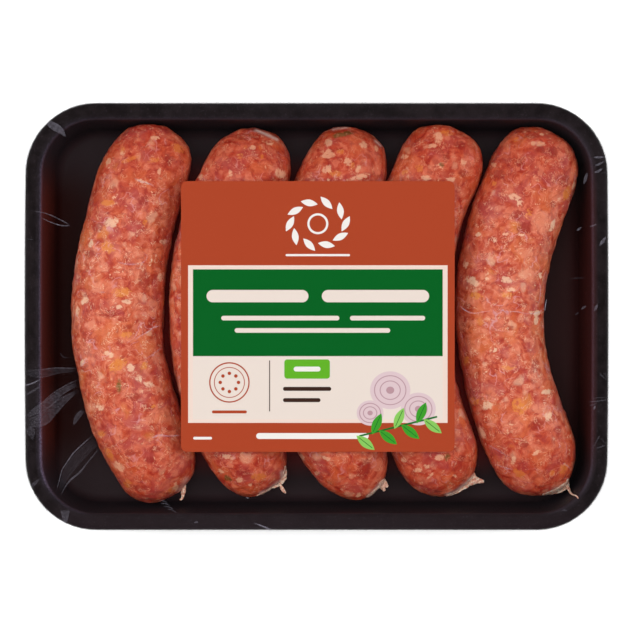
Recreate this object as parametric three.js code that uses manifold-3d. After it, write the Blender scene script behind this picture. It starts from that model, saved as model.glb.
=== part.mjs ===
// A sealed supermarket tray pack of five fresh sausages: a foam tray, the sausages side by side in it,
// the clear film stretched over them and folded under the base, and the label stuck on the film.
// Millimetres. X runs along the tray, Y along the sausages, and Z up from the surface the pack stands on.
import * as THREE from "three";
import Module from "manifold-3d";
import { mergeVertices } from "three/addons/utils/BufferGeometryUtils.js";

// Driving dimensions of the whole pack
const PACK_LENGTH = 220;
const PACK_WIDTH = 161;
const CORNER_RADIUS = 26.3;
const SIDE_BOW = 0.7; // how far the short sides bulge between the corners
const FILM_THICKNESS = 0.4;
const GAP = 0.3; // between two pieces that touch

// The foam tray
const BASE_HEIGHT = FILM_THICKNESS + GAP;
const FLOOR_HEIGHT = 4.4;
const RIM_HEIGHT = 28.2;
const RIM_FOOT = 24.2; // the underside of the rim
const RIM_WIDTH = 6.2;
const WALL_FOOT = 9.2; // from the rim's outer edge to the inner wall's foot
const FLOOR_FILLET = 4.4;
const BASE_INSET = 10.6; // from the rim's outer edge to the edge of the base

// The sausages. Each is given by the ends and the middle of its spine, seen from above, its width at the
// back, in the middle and at the front, how long its two rounded ends are, how blunt they are, how much
// higher than its middle each tip lies, and the dabs where its outline leaves the smooth form.
const HEIGHT_TO_WIDTH = 0.865; // they settle under the film
const SQUARENESS = 2.2; // power of the section's outline, 2 for an ellipse
const PRESSED_FLAT = 0.8; // how much of the underside is flattened on the tray's floor
const WALL_EASE = 0.6; // between a sausage and a wall that it is pushed against
const LUMP_HEIGHT = 0.022; // times the radius
const SAUSAGES = [
  {
    back: [-57.0, 72.7],
    middle: [-75.5, -2.0],
    front: [-53.8, -67.7],
    widths: [32.6, 34.8, 32.6],
    ends: [28.0, 19.4],
    bluntness: [2.7, 2.3],
    lifts: [4.5, -1.6],
    dabs: [
      { x: -47.8, y: 60.2, radius: 7, push: [1.3, 0] },
      { x: -53.5, y: 69.7, radius: 6, push: [-0.4, -0.8] },
      { x: -80.9, y: 60.6, radius: 10, push: [-0.8, 0.3] },
      { x: -77.4, y: -61.1, radius: 8, push: [0.8, 0.3] },
    ],
    tail: { root: [-51.6, -62.4], heading: -72, length: 7.0, width: 2.1, curl: -62, rise: -1 },
  },
  {
    back: [-16.8, 69.4],
    middle: [-39.2, 3.4],
    front: [-18.3, -67.3],
    widths: [33.6, 34.2, 32.6],
    ends: [20.0, 21.0],
    bluntness: [2.05, 2.05],
    lifts: [-1.6, -1.6],
    dabs: [
      { x: -11.6, y: 66.6, radius: 7, push: [0.6, 0.6] },
      { x: -41.3, y: -57.3, radius: 9, push: [0.8, 0.5] },
      { x: -17.7, y: -66.6, radius: 5, push: [-0.2, 0.9] },
    ],
    tail: { root: [-14.7, -61.2], heading: -60, length: 6.2, width: 2.3, curl: -4, rise: 0 },
  },
  {
    back: [19.5, 70.3],
    middle: [-2.5, 1.5],
    front: [21.0, -67.6],
    widths: [33.2, 34.3, 34.9],
    ends: [21.5, 28.5],
    bluntness: [2.4, 2.1],
    lifts: [-1.6, -1.6],
    dabs: [
      { x: -6.5, y: 53.0, radius: 13, push: [1.1, -0.3] },
      { x: 18.8, y: -68.8, radius: 8, push: [0.5, -0.5] },
    ],
    tail: { root: [24.6, -61.4], heading: -76, length: 4.2, width: 2.6, curl: -10, rise: 1 },
  },
  {
    back: [54.5, 71.8],
    middle: [34.2, 3.5],
    front: [53.1, -67.2],
    widths: [31.8, 33.0, 31.0],
    ends: [17.5, 17.6],
    bluntness: [2.2, 2.05],
    lifts: [4.0, -1.6],
    dabs: [
      { x: 64.0, y: 60.0, radius: 6, push: [0.9, 0.3] },
      { x: 53.5, y: 72.0, radius: 7, push: [-0.3, -1.1] },
      { x: 43.5, y: 73.9, radius: 6, push: [0, 0.9] },
      { x: 32.9, y: 65.9, radius: 6, push: [0.3, -0.3] },
    ],
    tail: { root: [57.6, -60.8], heading: -22, length: 6.0, width: 3.6, curl: -6, rise: 0 },
  },
  {
    back: [90.2, 70.0],
    middle: [69.5, 1.6],
    front: [91.4, -66.0],
    widths: [34.8, 33.6, 33.8],
    ends: [20.5, 20.3],
    bluntness: [2.3, 2.0],
    lifts: [-1.6, -1.6],
    dabs: [
      { x: 85.0, y: 42.3, radius: 24, push: [1.6, 0] },
      { x: 74.0, y: -65.0, radius: 9, push: [-0.9, -1.0] },
      { x: 93.6, y: -65.1, radius: 5, push: [0.6, -0.8] },
    ],
    tail: { root: [92.6, -61.6], heading: -54, length: 6.6, width: 3.0, curl: 0, rise: 7 },
  },
];
const SAUSAGE_RINGS = 26;
const SAUSAGE_SIDES = 20;
const RING_CROWDING = 0.75; // how much closer the rings stand at the ends, 0 to 1

// The casing's twisted ends
const TAIL_HEIGHT = FLOOR_HEIGHT + 11.7;
const TAIL_TAPER = 0.62;
const TAIL_FLATNESS = 0.7;
const TAIL_RINGS = 5;
const TAIL_SIDES = 6;

// The film's sheet over the top, and the label on it
const FILM_COLUMNS = 36;
const FILM_MIDDLE_ROWS = 10;
const FILM_CLEARANCE = 0.55; // over what holds it up
const FILM_OPENING = 0.55; // of the base's size, where the folded edges stop underneath
const STRETCH_SWEEPS = 400;
const LABEL_LENGTH = 102.1;
const LABEL_WIDTH = 101.0;
const LABEL_CENTRE = [0.5, 0];
const LABEL_CORNER = 2.2;
const LABEL_THICKNESS = 0.35;

// How finely the pack's outline is divided
const CORNER_STEPS = 5; // the film's too, so that the two stay one gap apart
const LONG_SIDE_STEPS = 8;
const SHORT_SIDE_STEPS = 6;

const HALF_LENGTH = PACK_LENGTH / 2 - SIDE_BOW;
const HALF_WIDTH = PACK_WIDTH / 2;
const CORNER_X = HALF_LENGTH - CORNER_RADIUS;
const CORNER_Y = HALF_WIDTH - CORNER_RADIUS;

const wasm = await Module();
wasm.setup();

const radians = THREE.MathUtils.degToRad;

function toSolid(geometry) {
  const bare = geometry.index ? geometry.toNonIndexed() : geometry.clone();
  bare.deleteAttribute("normal");
  bare.deleteAttribute("uv");
  const merged = mergeVertices(bare, 1e-4);
  return new wasm.Manifold(
    new wasm.Mesh({
      numProp: 3,
      vertProperties: merged.attributes.position.array,
      triVerts: new Uint32Array(merged.index.array),
    }),
  );
}

function toGeometry(solid) {
  const mesh = solid.getMesh();
  const geometry = new THREE.BufferGeometry();
  geometry.setAttribute("position", new THREE.BufferAttribute(mesh.vertProperties, mesh.numProp));
  geometry.setIndex(new THREE.BufferAttribute(mesh.triVerts, 1));
  return flatShaded(geometry);
}

function flatShaded(geometry) {
  const faceted = geometry.toNonIndexed();
  faceted.computeVertexNormals();
  return faceted;
}

function indexed(points, triangles) {
  const geometry = new THREE.BufferGeometry();
  geometry.setFromPoints(points);
  geometry.setIndex(triangles);
  return geometry;
}

// A closed skin over rings of points that run anticlockwise round the way the loft goes, with a point at
// each end.
function loft(start, rings, end) {
  const sides = rings[0].length;
  const points = [start, ...rings.flat(), end];
  const last = points.length - 1;
  const at = (ring, side) => 1 + ring * sides + (side % sides);
  const triangles = [];
  for (let side = 0; side < sides; side++) {
    triangles.push(0, at(0, side + 1), at(0, side));
    triangles.push(last, at(rings.length - 1, side), at(rings.length - 1, side + 1));
  }
  for (let ring = 0; ring + 1 < rings.length; ring++) {
    for (let side = 0; side < sides; side++) {
      const [a, b] = [at(ring, side), at(ring, side + 1)];
      const [c, d] = [at(ring + 1, side), at(ring + 1, side + 1)];
      triangles.push(a, b, d, a, d, c);
    }
  }
  return indexed(points, triangles);
}

// The short sides bulge a little between the corners.
function bowed(x, y, z) {
  return new THREE.Vector3(x * (1 + (SIDE_BOW / HALF_LENGTH) * (1 - (y / HALF_WIDTH) ** 2)), y, z);
}

// A place on the pack's outline: a point one corner radius inside it, and the way out to it.
function borderPoint(place, inset, z) {
  const reach = CORNER_RADIUS - inset;
  return bowed(place.x + place.outX * reach, place.y + place.outY * reach, z);
}

// The places round the outline, anticlockwise seen from above.
function outlinePlaces() {
  const places = [];
  const corners = [
    [1, 1, LONG_SIDE_STEPS],
    [-1, 1, SHORT_SIDE_STEPS],
    [-1, -1, LONG_SIDE_STEPS],
    [1, -1, SHORT_SIDE_STEPS],
  ];
  corners.forEach(([sideX, sideY, steps], quarter) => {
    const x = sideX * CORNER_X;
    const y = sideY * CORNER_Y;
    for (let step = 0; step <= CORNER_STEPS; step++) {
      const angle = radians(90 * (quarter + step / CORNER_STEPS));
      places.push({ x, y, outX: Math.cos(angle), outY: Math.sin(angle) });
    }
    const [nextX, nextY] = corners[(quarter + 1) % corners.length];
    const { outX, outY } = places[places.length - 1];
    for (let step = 1; step < steps; step++) {
      const share = step / steps;
      places.push({
        x: THREE.MathUtils.lerp(x, nextX * CORNER_X, share),
        y: THREE.MathUtils.lerp(y, nextY * CORNER_Y, share),
        outX,
        outY,
      });
    }
  });
  return places;
}

// The tray's section, from the middle of the underside, out and up the wall, over the rim and down inside.
function trayGeometry() {
  const edge = FILM_THICKNESS + GAP; // the film goes round the rim
  const profile = [
    [BASE_INSET, BASE_HEIGHT],
    [BASE_INSET - 1.6, BASE_HEIGHT + 1.2],
    [BASE_INSET - 3.8, BASE_HEIGHT + 7],
    [3.9, RIM_FOOT - 1.4],
    [3.1, RIM_FOOT],
    [0.7, RIM_FOOT],
    [0, RIM_FOOT + 0.8],
    [0, RIM_HEIGHT - 1.1],
    [1.1, RIM_HEIGHT],
    [RIM_WIDTH - 1, RIM_HEIGHT],
    [RIM_WIDTH - 0.2, RIM_HEIGHT - 0.6],
    [RIM_WIDTH + 0.3, RIM_HEIGHT - 2.2],
    [WALL_FOOT, FLOOR_HEIGHT + FLOOR_FILLET],
    [WALL_FOOT + 0.35 * FLOOR_FILLET, FLOOR_HEIGHT + 0.3 * FLOOR_FILLET],
    [WALL_FOOT + FLOOR_FILLET, FLOOR_HEIGHT],
  ];
  const places = outlinePlaces();
  const rings = profile.map(([inset, z]) => places.map((place) => borderPoint(place, edge + inset, z)));
  const underside = new THREE.Vector3(0, 0, BASE_HEIGHT);
  const floor = new THREE.Vector3(0, 0, FLOOR_HEIGHT);
  return loft(underside, rings, floor);
}

// A quadratic through three values, at shares 0, 1/2 and 1.
function through([first, middle, last], share) {
  return (
    (1 - share) * (1 - 2 * share) * first +
    4 * share * (1 - share) * middle +
    share * (2 * share - 1) * last
  );
}

// How full a rounded end is at a distance from its tip: 0 at the tip, 1 where the end is over.
function fullness(distance, length, bluntness) {
  const short = Math.max(0, 1 - distance / length);
  return (1 - short ** bluntness) ** (1 / bluntness);
}

// Slow lumps of the filling, along the sausage and round it, different for each one.
function lump(share, angle, seed) {
  const turn = 2 * Math.PI * share;
  return (
    0.5 * Math.sin(2.3 * turn + 1.7 * seed + Math.cos(angle + seed)) +
    0.35 * Math.sin(3.9 * turn + 2 * angle + 2.9 * seed) +
    0.3 * Math.sin(5.6 * turn - 3 * angle + 4.1 * seed)
  );
}

function sausageSpine(spec) {
  const at = (share) =>
    new THREE.Vector2(
      through([spec.back[0], spec.middle[0], spec.front[0]], share),
      through([spec.back[1], spec.middle[1], spec.front[1]], share),
    );
  return {
    at,
    length: new THREE.SplineCurve(Array.from({ length: 25 }, (_, i) => at(i / 24))).getLength(),
  };
}

function sausageHalfWidth(spec, length, share) {
  const along = share * length;
  return (
    0.5 *
    through(spec.widths, share) *
    fullness(along, spec.ends[0], spec.bluntness[0]) *
    fullness(length - along, spec.ends[1], spec.bluntness[1])
  );
}

// A sausage's point, moved in where it would come too near the tray's inner wall.
function offWall(x, y, z) {
  const [top, foot] = [RIM_HEIGHT - 2.2, FLOOR_HEIGHT + FLOOR_FILLET];
  const inset = THREE.MathUtils.mapLinear(z, top, foot, RIM_WIDTH + 0.3, WALL_FOOT);
  const limit = CORNER_RADIUS - FILM_THICKNESS - GAP - inset - WALL_EASE;
  const core = new THREE.Vector3(
    THREE.MathUtils.clamp(x, -CORNER_X, CORNER_X),
    THREE.MathUtils.clamp(y, -CORNER_Y, CORNER_Y),
    z,
  );
  const out = new THREE.Vector3(x, y, z).sub(core);
  return core.add(out.clampLength(0, limit));
}

// A sausage's point, pushed about by the dabs near it.
function dabbed(dabs, x, y) {
  let [movedX, movedY] = [x, y];
  for (const dab of dabs) {
    const share = Math.exp(-((x - dab.x) ** 2 + (y - dab.y) ** 2) / dab.radius ** 2);
    movedX += share * dab.push[0];
    movedY += share * dab.push[1];
  }
  return [movedX, movedY];
}

// One ring of a sausage. It is pressed flat on the tray's floor, and keeps off the walls.
function sausageRing(spec, spine, share, seed) {
  const bed = FLOOR_HEIGHT + GAP;
  const here = spine.at(share);
  const ahead = spine.at(share + 1e-3).sub(spine.at(share - 1e-3)).normalize();
  const halfWidth = sausageHalfWidth(spec, spine.length, share);
  const full = 0.5 * through(spec.widths, share);
  const lift = spec.lifts[share < 0.5 ? 0 : 1] * (1 - halfWidth / full);
  const middleHeight = bed + full * HEIGHT_TO_WIDTH - PRESSED_FLAT + lift;
  const ring = [];
  for (let side = 0; side < SAUSAGE_SIDES; side++) {
    const angle = (2 * Math.PI * side) / SAUSAGE_SIDES;
    const cos = Math.cos(angle);
    const sin = Math.sin(angle);
    const power = 2 / SQUARENESS;
    const radius = halfWidth * (1 + LUMP_HEIGHT * lump(share, angle, seed));
    const across = radius * Math.sign(cos) * Math.abs(cos) ** power;
    const up = radius * HEIGHT_TO_WIDTH * Math.sign(sin) * Math.abs(sin) ** power;
    const z = Math.max(bed, middleHeight + up);
    const [x, y] = dabbed(spec.dabs, here.x - ahead.y * across, here.y + ahead.x * across);
    ring.push(offWall(x, y, z));
  }
  return ring;
}

// The twisted end of the casing: a thin, tapering string that leaves the front end and curls.
function tailGeometry({ root, heading, length, width, curl, rise }) {
  const rings = [];
  const centre = new THREE.Vector3(...root, TAIL_HEIGHT);
  const start = centre.clone();
  for (let ring = 0; ring < TAIL_RINGS; ring++) {
    const share = ring / (TAIL_RINGS - 1);
    const angle = radians(heading + curl * share);
    const ahead = new THREE.Vector3(Math.cos(angle), Math.sin(angle), rise / length).normalize();
    const sideways = new THREE.Vector3(-ahead.y, ahead.x, 0).normalize();
    const upwards = new THREE.Vector3().crossVectors(ahead, sideways);
    const radius = 0.5 * width * (1 - TAIL_TAPER * share);
    const points = [];
    for (let side = 0; side < TAIL_SIDES; side++) {
      const turn = (2 * Math.PI * side) / TAIL_SIDES + share;
      points.push(
        centre
          .clone()
          .addScaledVector(sideways, radius * Math.cos(turn))
          .addScaledVector(upwards, TAIL_FLATNESS * radius * Math.sin(turn)),
      );
    }
    rings.push(points);
    centre.addScaledVector(ahead, length / (TAIL_RINGS - 1));
  }
  return loft(start, rings, centre);
}

function sausageGeometry(spec, seed) {
  const spine = sausageSpine(spec);
  const rings = [];
  for (let ring = 1; ring <= SAUSAGE_RINGS; ring++) {
    const even = ring / (SAUSAGE_RINGS + 1);
    const share = even - (RING_CROWDING * Math.sin(2 * Math.PI * even)) / (2 * Math.PI);
    rings.push(sausageRing(spec, spine, share, seed));
  }
  const tip = (share) => {
    const end = spine.at(share);
    const [x, y] = dabbed(spec.dabs, end.x, end.y);
    const full = 0.5 * through(spec.widths, share);
    const z = FLOOR_HEIGHT + GAP + full * HEIGHT_TO_WIDTH - PRESSED_FLAT + spec.lifts[share];
    return offWall(x, y, z);
  };
  const body = toSolid(loft(tip(0), rings, tip(1)));
  const tail = toSolid(tailGeometry(spec.tail));
  return toGeometry(body.add(tail));
}

// How high the film has to be over a point, from what stands below it.
function heightFinder(meshes) {
  const ray = new THREE.Raycaster();
  const down = new THREE.Vector3(0, 0, -1);
  return (x, y) => {
    ray.set(new THREE.Vector3(x, y, 2 * RIM_HEIGHT), down);
    const hit = ray.intersectObjects(meshes, false)[0];
    return hit ? hit.point.z : 0;
  };
}

// The rows of the film's sheet, from front to back: its ends follow the pack's outline.
function filmRows() {
  const rows = [];
  const corner = (step) => radians((90 * step) / CORNER_STEPS);
  for (let step = CORNER_STEPS; step > 0; step--) {
    rows.push({ y: -CORNER_Y, outX: Math.cos(corner(step)), outY: -Math.sin(corner(step)) });
  }
  for (let step = 0; step <= FILM_MIDDLE_ROWS; step++) {
    rows.push({ y: CORNER_Y * ((2 * step) / FILM_MIDDLE_ROWS - 1), outX: 1, outY: 0 });
  }
  for (let step = 1; step <= CORNER_STEPS; step++) {
    rows.push({ y: CORNER_Y, outX: Math.cos(corner(step)), outY: Math.sin(corner(step)) });
  }
  return rows;
}

function underLabel(point, margin) {
  return (
    Math.abs(point.x - LABEL_CENTRE[0]) < LABEL_LENGTH / 2 + margin &&
    Math.abs(point.y - LABEL_CENTRE[1]) < LABEL_WIDTH / 2 + margin
  );
}

// The stretched sheet: it hangs on the rim, and settles like a soap film on whatever holds it up. The
// label keeps it level where it is stuck on.
function stretchFilm(rows, heightAt) {
  const rim = RIM_HEIGHT + GAP;
  const columns = FILM_COLUMNS + 1;
  const lower = rows.map((row) => {
    const y = row.y + row.outY * (CORNER_RADIUS - FILM_THICKNESS);
    const half = CORNER_X + row.outX * (CORNER_RADIUS - FILM_THICKNESS);
    return Array.from({ length: columns }, (_, i) => bowed(half * ((2 * i) / FILM_COLUMNS - 1), y, rim));
  });
  const edge = (row, column) =>
    row === 0 || row === rows.length - 1 || column === 0 || column === columns - 1;
  const support = lower.map((line, row) =>
    line.map((point, column) => {
      if (edge(row, column)) return rim;
      const stepX = (line[column + 1].x - line[column - 1].x) / 6;
      const stepY = (lower[row + 1][column].y - lower[row - 1][column].y) / 6;
      let highest = 0;
      for (const i of [-1, 0, 1]) {
        for (const j of [-1, 0, 1]) {
          highest = Math.max(highest, heightAt(point.x + i * stepX, point.y + j * stepY));
        }
      }
      return highest + FILM_CLEARANCE;
    }),
  );
  let labelBed = 0;
  const isLabelled = (point) => underLabel(point, PACK_LENGTH / FILM_COLUMNS);
  lower.forEach((line, row) =>
    line.forEach((point, column) => {
      if (isLabelled(point)) labelBed = Math.max(labelBed, support[row][column]);
    }),
  );
  lower.forEach((line, row) =>
    line.forEach((point, column) => {
      if (isLabelled(point)) support[row][column] = labelBed;
      point.z = support[row][column];
    }),
  );
  for (let sweep = 0; sweep < STRETCH_SWEEPS; sweep++) {
    for (let row = 1; row < rows.length - 1; row++) {
      for (let column = 1; column < columns - 1; column++) {
        const point = lower[row][column];
        const around = [
          lower[row][column - 1],
          lower[row][column + 1],
          lower[row - 1][column],
          lower[row + 1][column],
        ];
        const weights = around.map((other) => 1 / Math.hypot(other.x - point.x, other.y - point.y));
        const pull = around.reduce((sum, other, i) => sum + other.z * weights[i], 0);
        const level = pull / weights.reduce((sum, weight) => sum + weight, 0);
        point.z = Math.max(support[row][column], level);
      }
    }
  }
  return { lower, labelBed };
}

// The film as one thin shell: the sheet, the skirt from the rim to the base, and the fold underneath.
function filmGeometry(rows, lower) {
  const columns = FILM_COLUMNS + 1;
  const upperPlace = (row, column) => {
    const half = CORNER_X + row.outX * CORNER_RADIUS;
    return bowed(half * ((2 * column) / FILM_COLUMNS - 1), row.y + row.outY * CORNER_RADIUS, 0);
  };
  const inner = lower.flat();
  const outer = rows.flatMap((row, j) =>
    lower[j].map((point, i) => {
      const place = upperPlace(row, i);
      return place.setZ(point.z + FILM_THICKNESS);
    }),
  );
  const at = (row, column) => row * columns + column;
  const triangles = [];
  for (let row = 0; row + 1 < rows.length; row++) {
    for (let column = 0; column < FILM_COLUMNS; column++) {
      const [a, b] = [at(row, column), at(row, column + 1)];
      const [c, d] = [at(row + 1, column), at(row + 1, column + 1)];
      // Each cell is split along the diagonal that keeps the sheet highest.
      if (inner[a].z + inner[d].z > inner[b].z + inner[c].z) triangles.push(a, b, d, a, d, c);
      else triangles.push(a, b, c, b, d, c);
    }
  }

  // The border, anticlockwise seen from above.
  const last = rows.length - 1;
  const border = [];
  const share = (column) => (2 * column) / FILM_COLUMNS - 1;
  for (let i = 0; i < FILM_COLUMNS; i++) {
    border.push({ index: at(0, i), x: CORNER_X * share(i), y: -CORNER_Y, outX: 0, outY: -1 });
  }
  for (let j = 0; j < last; j++) {
    border.push({ index: at(j, FILM_COLUMNS), x: CORNER_X, ...rows[j] });
  }
  for (let i = FILM_COLUMNS; i > 0; i--) {
    border.push({ index: at(last, i), x: CORNER_X * share(i), y: CORNER_Y, outX: 0, outY: 1 });
  }
  for (let j = last; j > 0; j--) {
    border.push({ index: at(j, 0), ...rows[j], x: -CORNER_X, outX: -rows[j].outX });
  }

  const heel = BASE_INSET - 1.4;
  const bands = [
    { insets: [0, FILM_THICKNESS], heights: [RIM_FOOT, RIM_FOOT + 0.2], size: 1 },
    { insets: [heel, heel + 0.3], heights: [0, FILM_THICKNESS], size: 1 },
    { insets: [heel, heel], heights: [0, FILM_THICKNESS], size: FILM_OPENING },
  ];
  let loop = border.map((place) => place.index);
  for (const { insets, heights, size } of bands) {
    const next = border.map((place) => {
      [outer, inner].forEach((points, layer) => {
        const point = borderPoint(place, insets[layer], heights[layer]);
        points.push(point.set(point.x * size, point.y * size, point.z));
      });
      return inner.length - 1;
    });
    loop.forEach((a, i) => {
      const b = loop[(i + 1) % loop.length];
      const d = next[(i + 1) % loop.length];
      triangles.push(a, next[i], d, a, d, b);
    });
    loop = next;
  }

  const count = outer.length;
  const both = [...triangles];
  for (let i = 0; i < triangles.length; i += 3) {
    both.push(count + triangles[i], count + triangles[i + 2], count + triangles[i + 1]);
  }
  loop.forEach((a, i) => {
    const b = loop[(i + 1) % loop.length];
    both.push(a, count + a, count + b, a, count + b, b);
  });
  return indexed([...outer, ...inner], both);
}

function labelGeometry() {
  const [x, y] = [LABEL_LENGTH / 2, LABEL_WIDTH / 2];
  const r = LABEL_CORNER;
  const shape = new THREE.Shape();
  shape.absarc(x - r, y - r, r, 0, Math.PI / 2);
  shape.absarc(r - x, y - r, r, Math.PI / 2, Math.PI);
  shape.absarc(r - x, r - y, r, Math.PI, 1.5 * Math.PI);
  shape.absarc(x - r, r - y, r, 1.5 * Math.PI, 2 * Math.PI);
  return new THREE.ExtrudeGeometry(shape, {
    depth: LABEL_THICKNESS,
    bevelEnabled: false,
    curveSegments: 5,
  });
}

function piece(name, geometry, look) {
  const mesh = new THREE.Mesh(geometry, new THREE.MeshStandardMaterial(look));
  mesh.name = name;
  return mesh;
}

const BLACK_FOAM = { color: 0x211c1e, roughness: 0.62, metalness: 0 };
const RAW_SAUSAGE = { color: 0xc4674e, roughness: 0.32, metalness: 0 };
const CLEAR_FILM = {
  color: 0xffffff,
  roughness: 0.08,
  metalness: 0,
  transparent: true,
  opacity: 0.14,
};
const LABEL_PAPER = { color: 0xb04527, roughness: 0.5, metalness: 0 };

const pack = new THREE.Group();

const tray = piece("tray", flatShaded(trayGeometry()), BLACK_FOAM);
pack.add(tray);

const sausages = SAUSAGES.map((spec, i) =>
  piece(`sausage_${i + 1}`, sausageGeometry(spec, i + 1), RAW_SAUSAGE),
);
pack.add(...sausages);

const rows = filmRows();
const sheet = stretchFilm(rows, heightFinder([tray, ...sausages]));
pack.add(piece("film", flatShaded(filmGeometry(rows, sheet.lower)), CLEAR_FILM));

const label = piece("label", labelGeometry(), LABEL_PAPER);
label.position.set(...LABEL_CENTRE, sheet.labelBed + FILM_THICKNESS + GAP);
pack.add(label);

export default pack;
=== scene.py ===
"""A sealed tray pack of fresh sausages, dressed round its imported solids.

Metres, Z up, seen from straight above. Tables and materials are in millimetres.
"""

import math

import bpy
import numpy as np
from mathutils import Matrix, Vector, noise


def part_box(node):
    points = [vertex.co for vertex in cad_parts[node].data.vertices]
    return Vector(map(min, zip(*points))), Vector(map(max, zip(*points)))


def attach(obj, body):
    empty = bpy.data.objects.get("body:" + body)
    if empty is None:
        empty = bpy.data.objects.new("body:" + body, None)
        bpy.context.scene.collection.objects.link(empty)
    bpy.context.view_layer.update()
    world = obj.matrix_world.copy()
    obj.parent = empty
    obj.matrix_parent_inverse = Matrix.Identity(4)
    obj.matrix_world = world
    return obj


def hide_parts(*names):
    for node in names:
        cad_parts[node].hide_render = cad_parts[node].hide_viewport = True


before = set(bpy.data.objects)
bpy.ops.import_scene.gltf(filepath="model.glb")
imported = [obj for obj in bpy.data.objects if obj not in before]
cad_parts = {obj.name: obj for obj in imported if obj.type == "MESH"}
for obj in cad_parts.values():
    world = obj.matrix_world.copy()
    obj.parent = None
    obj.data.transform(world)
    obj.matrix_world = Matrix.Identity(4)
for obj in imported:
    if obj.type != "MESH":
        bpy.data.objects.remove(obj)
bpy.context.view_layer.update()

MM = 0.001

# The pack, from its solids
_, PACK_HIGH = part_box("film")
TRAY_LOW, TRAY_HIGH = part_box("tray")
LABEL_LOW, LABEL_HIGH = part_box("label")
LABEL_CENTRE = (LABEL_LOW + LABEL_HIGH) / 2
HALF_LENGTH = PACK_HIGH.x
HALF_WIDTH = PACK_HIGH.y
CORNER_RADIUS = 26.3 * MM
SIDE_BOW = 0.7 * MM
RIM_TOP = TRAY_HIGH.z
RIM_FOOT = RIM_TOP - 4.0 * MM
TRAY_UNDER = TRAY_LOW.z
FLOOR_HEIGHT = 4.4 * MM
CORE_X = HALF_LENGTH - SIDE_BOW - CORNER_RADIUS
CORE_Y = HALF_WIDTH - CORNER_RADIUS
SAUSAGES = range(1, 6)

# The camera, straight above, as far away as the pack's length in the picture asks
PICTURE_WIDTH = 633
PACK_IN_PICTURE = 585
LENS = 135.0
SENSOR = 36.0


def deselect():
    bpy.ops.object.select_all(action="DESELECT")


def choose(piece):
    deselect()
    piece.select_set(True)
    bpy.context.view_layer.objects.active = piece


def edit_mode():
    bpy.ops.object.mode_set(mode="EDIT")


def object_mode():
    bpy.ops.object.mode_set(mode="OBJECT")


def face_outwards(piece):
    choose(piece)
    edit_mode()
    bpy.ops.mesh.select_all(action="SELECT")
    bpy.ops.mesh.normals_make_consistent(inside=False)
    object_mode()


def apply_modifier(piece, kind, **settings):
    choose(piece)
    modifier = piece.modifiers.new(kind.title(), kind)
    for name, value in settings.items():
        setattr(modifier, name, value)
    bpy.ops.object.modifier_apply(modifier=modifier.name)


def points_of(piece):
    flat = np.empty(len(piece.data.vertices) * 3, np.float32)
    piece.data.vertices.foreach_get("co", flat)
    return flat.reshape(-1, 3).astype(float)


def move_points(piece, points):
    piece.data.vertices.foreach_set("co", np.asarray(points, np.float32).ravel())
    piece.data.update()


def paint(piece, name, values):
    """A number at each vertex, which the piece's material reads."""
    attribute = piece.data.attributes.new(name, "FLOAT", "POINT")
    attribute.data.foreach_set("value", np.asarray(values, np.float32))


def new_piece(name):
    """The primitive just added, under its own name, with its place in its mesh."""
    piece = bpy.context.active_object
    piece.name = piece.data.name = name
    bpy.ops.object.transform_apply(location=True, rotation=True, scale=True)
    return piece


def flat_grid(name, columns, rows):
    """A flat grid from -1 to 1 each way as a new piece, with its points."""
    deselect()
    bpy.ops.mesh.primitive_grid_add(x_subdivisions=columns, y_subdivisions=rows, size=2)
    piece = new_piece(name)
    return piece, points_of(piece)


def finish_piece(piece, material, node=None, smooth=40):
    choose(piece)
    bpy.ops.object.shade_smooth_by_angle(angle=math.radians(smooth))
    piece.data.materials.clear()
    piece.data.materials.append(material)
    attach(piece, "root")
    if node:
        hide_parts(node)
    return piece


# The pack's outline


def rising(values, start, length):
    """From 0 at start to 1 at one length further on."""
    return np.clip((values - start) / length, 0, 1)


def core_and_way_out(x, y):
    """The nearest point one corner radius inside the outline, and the way from it to the outline."""
    core_x = np.clip(x, -CORE_X, CORE_X)
    core_y = np.clip(y, -CORE_Y, CORE_Y)
    away_x = x - core_x
    away_y = y - core_y
    length = np.maximum(np.hypot(away_x, away_y), 1e-9)
    return core_x, core_y, away_x / length, away_y / length


def depth_inside(x, y):
    """How far a point is inside the outline."""
    away_x = np.abs(x) - CORE_X
    away_y = np.abs(y) - CORE_Y
    outside = np.hypot(np.maximum(away_x, 0), np.maximum(away_y, 0))
    inside = np.minimum(np.maximum(away_x, away_y), 0)
    return CORNER_RADIUS - outside - inside


def bow(x, y):
    """The short sides bulge a little between the corners."""
    return x * (1 + SIDE_BOW / (HALF_LENGTH - SIDE_BOW) * (1 - (y / HALF_WIDTH) ** 2))


# Node trees


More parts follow.
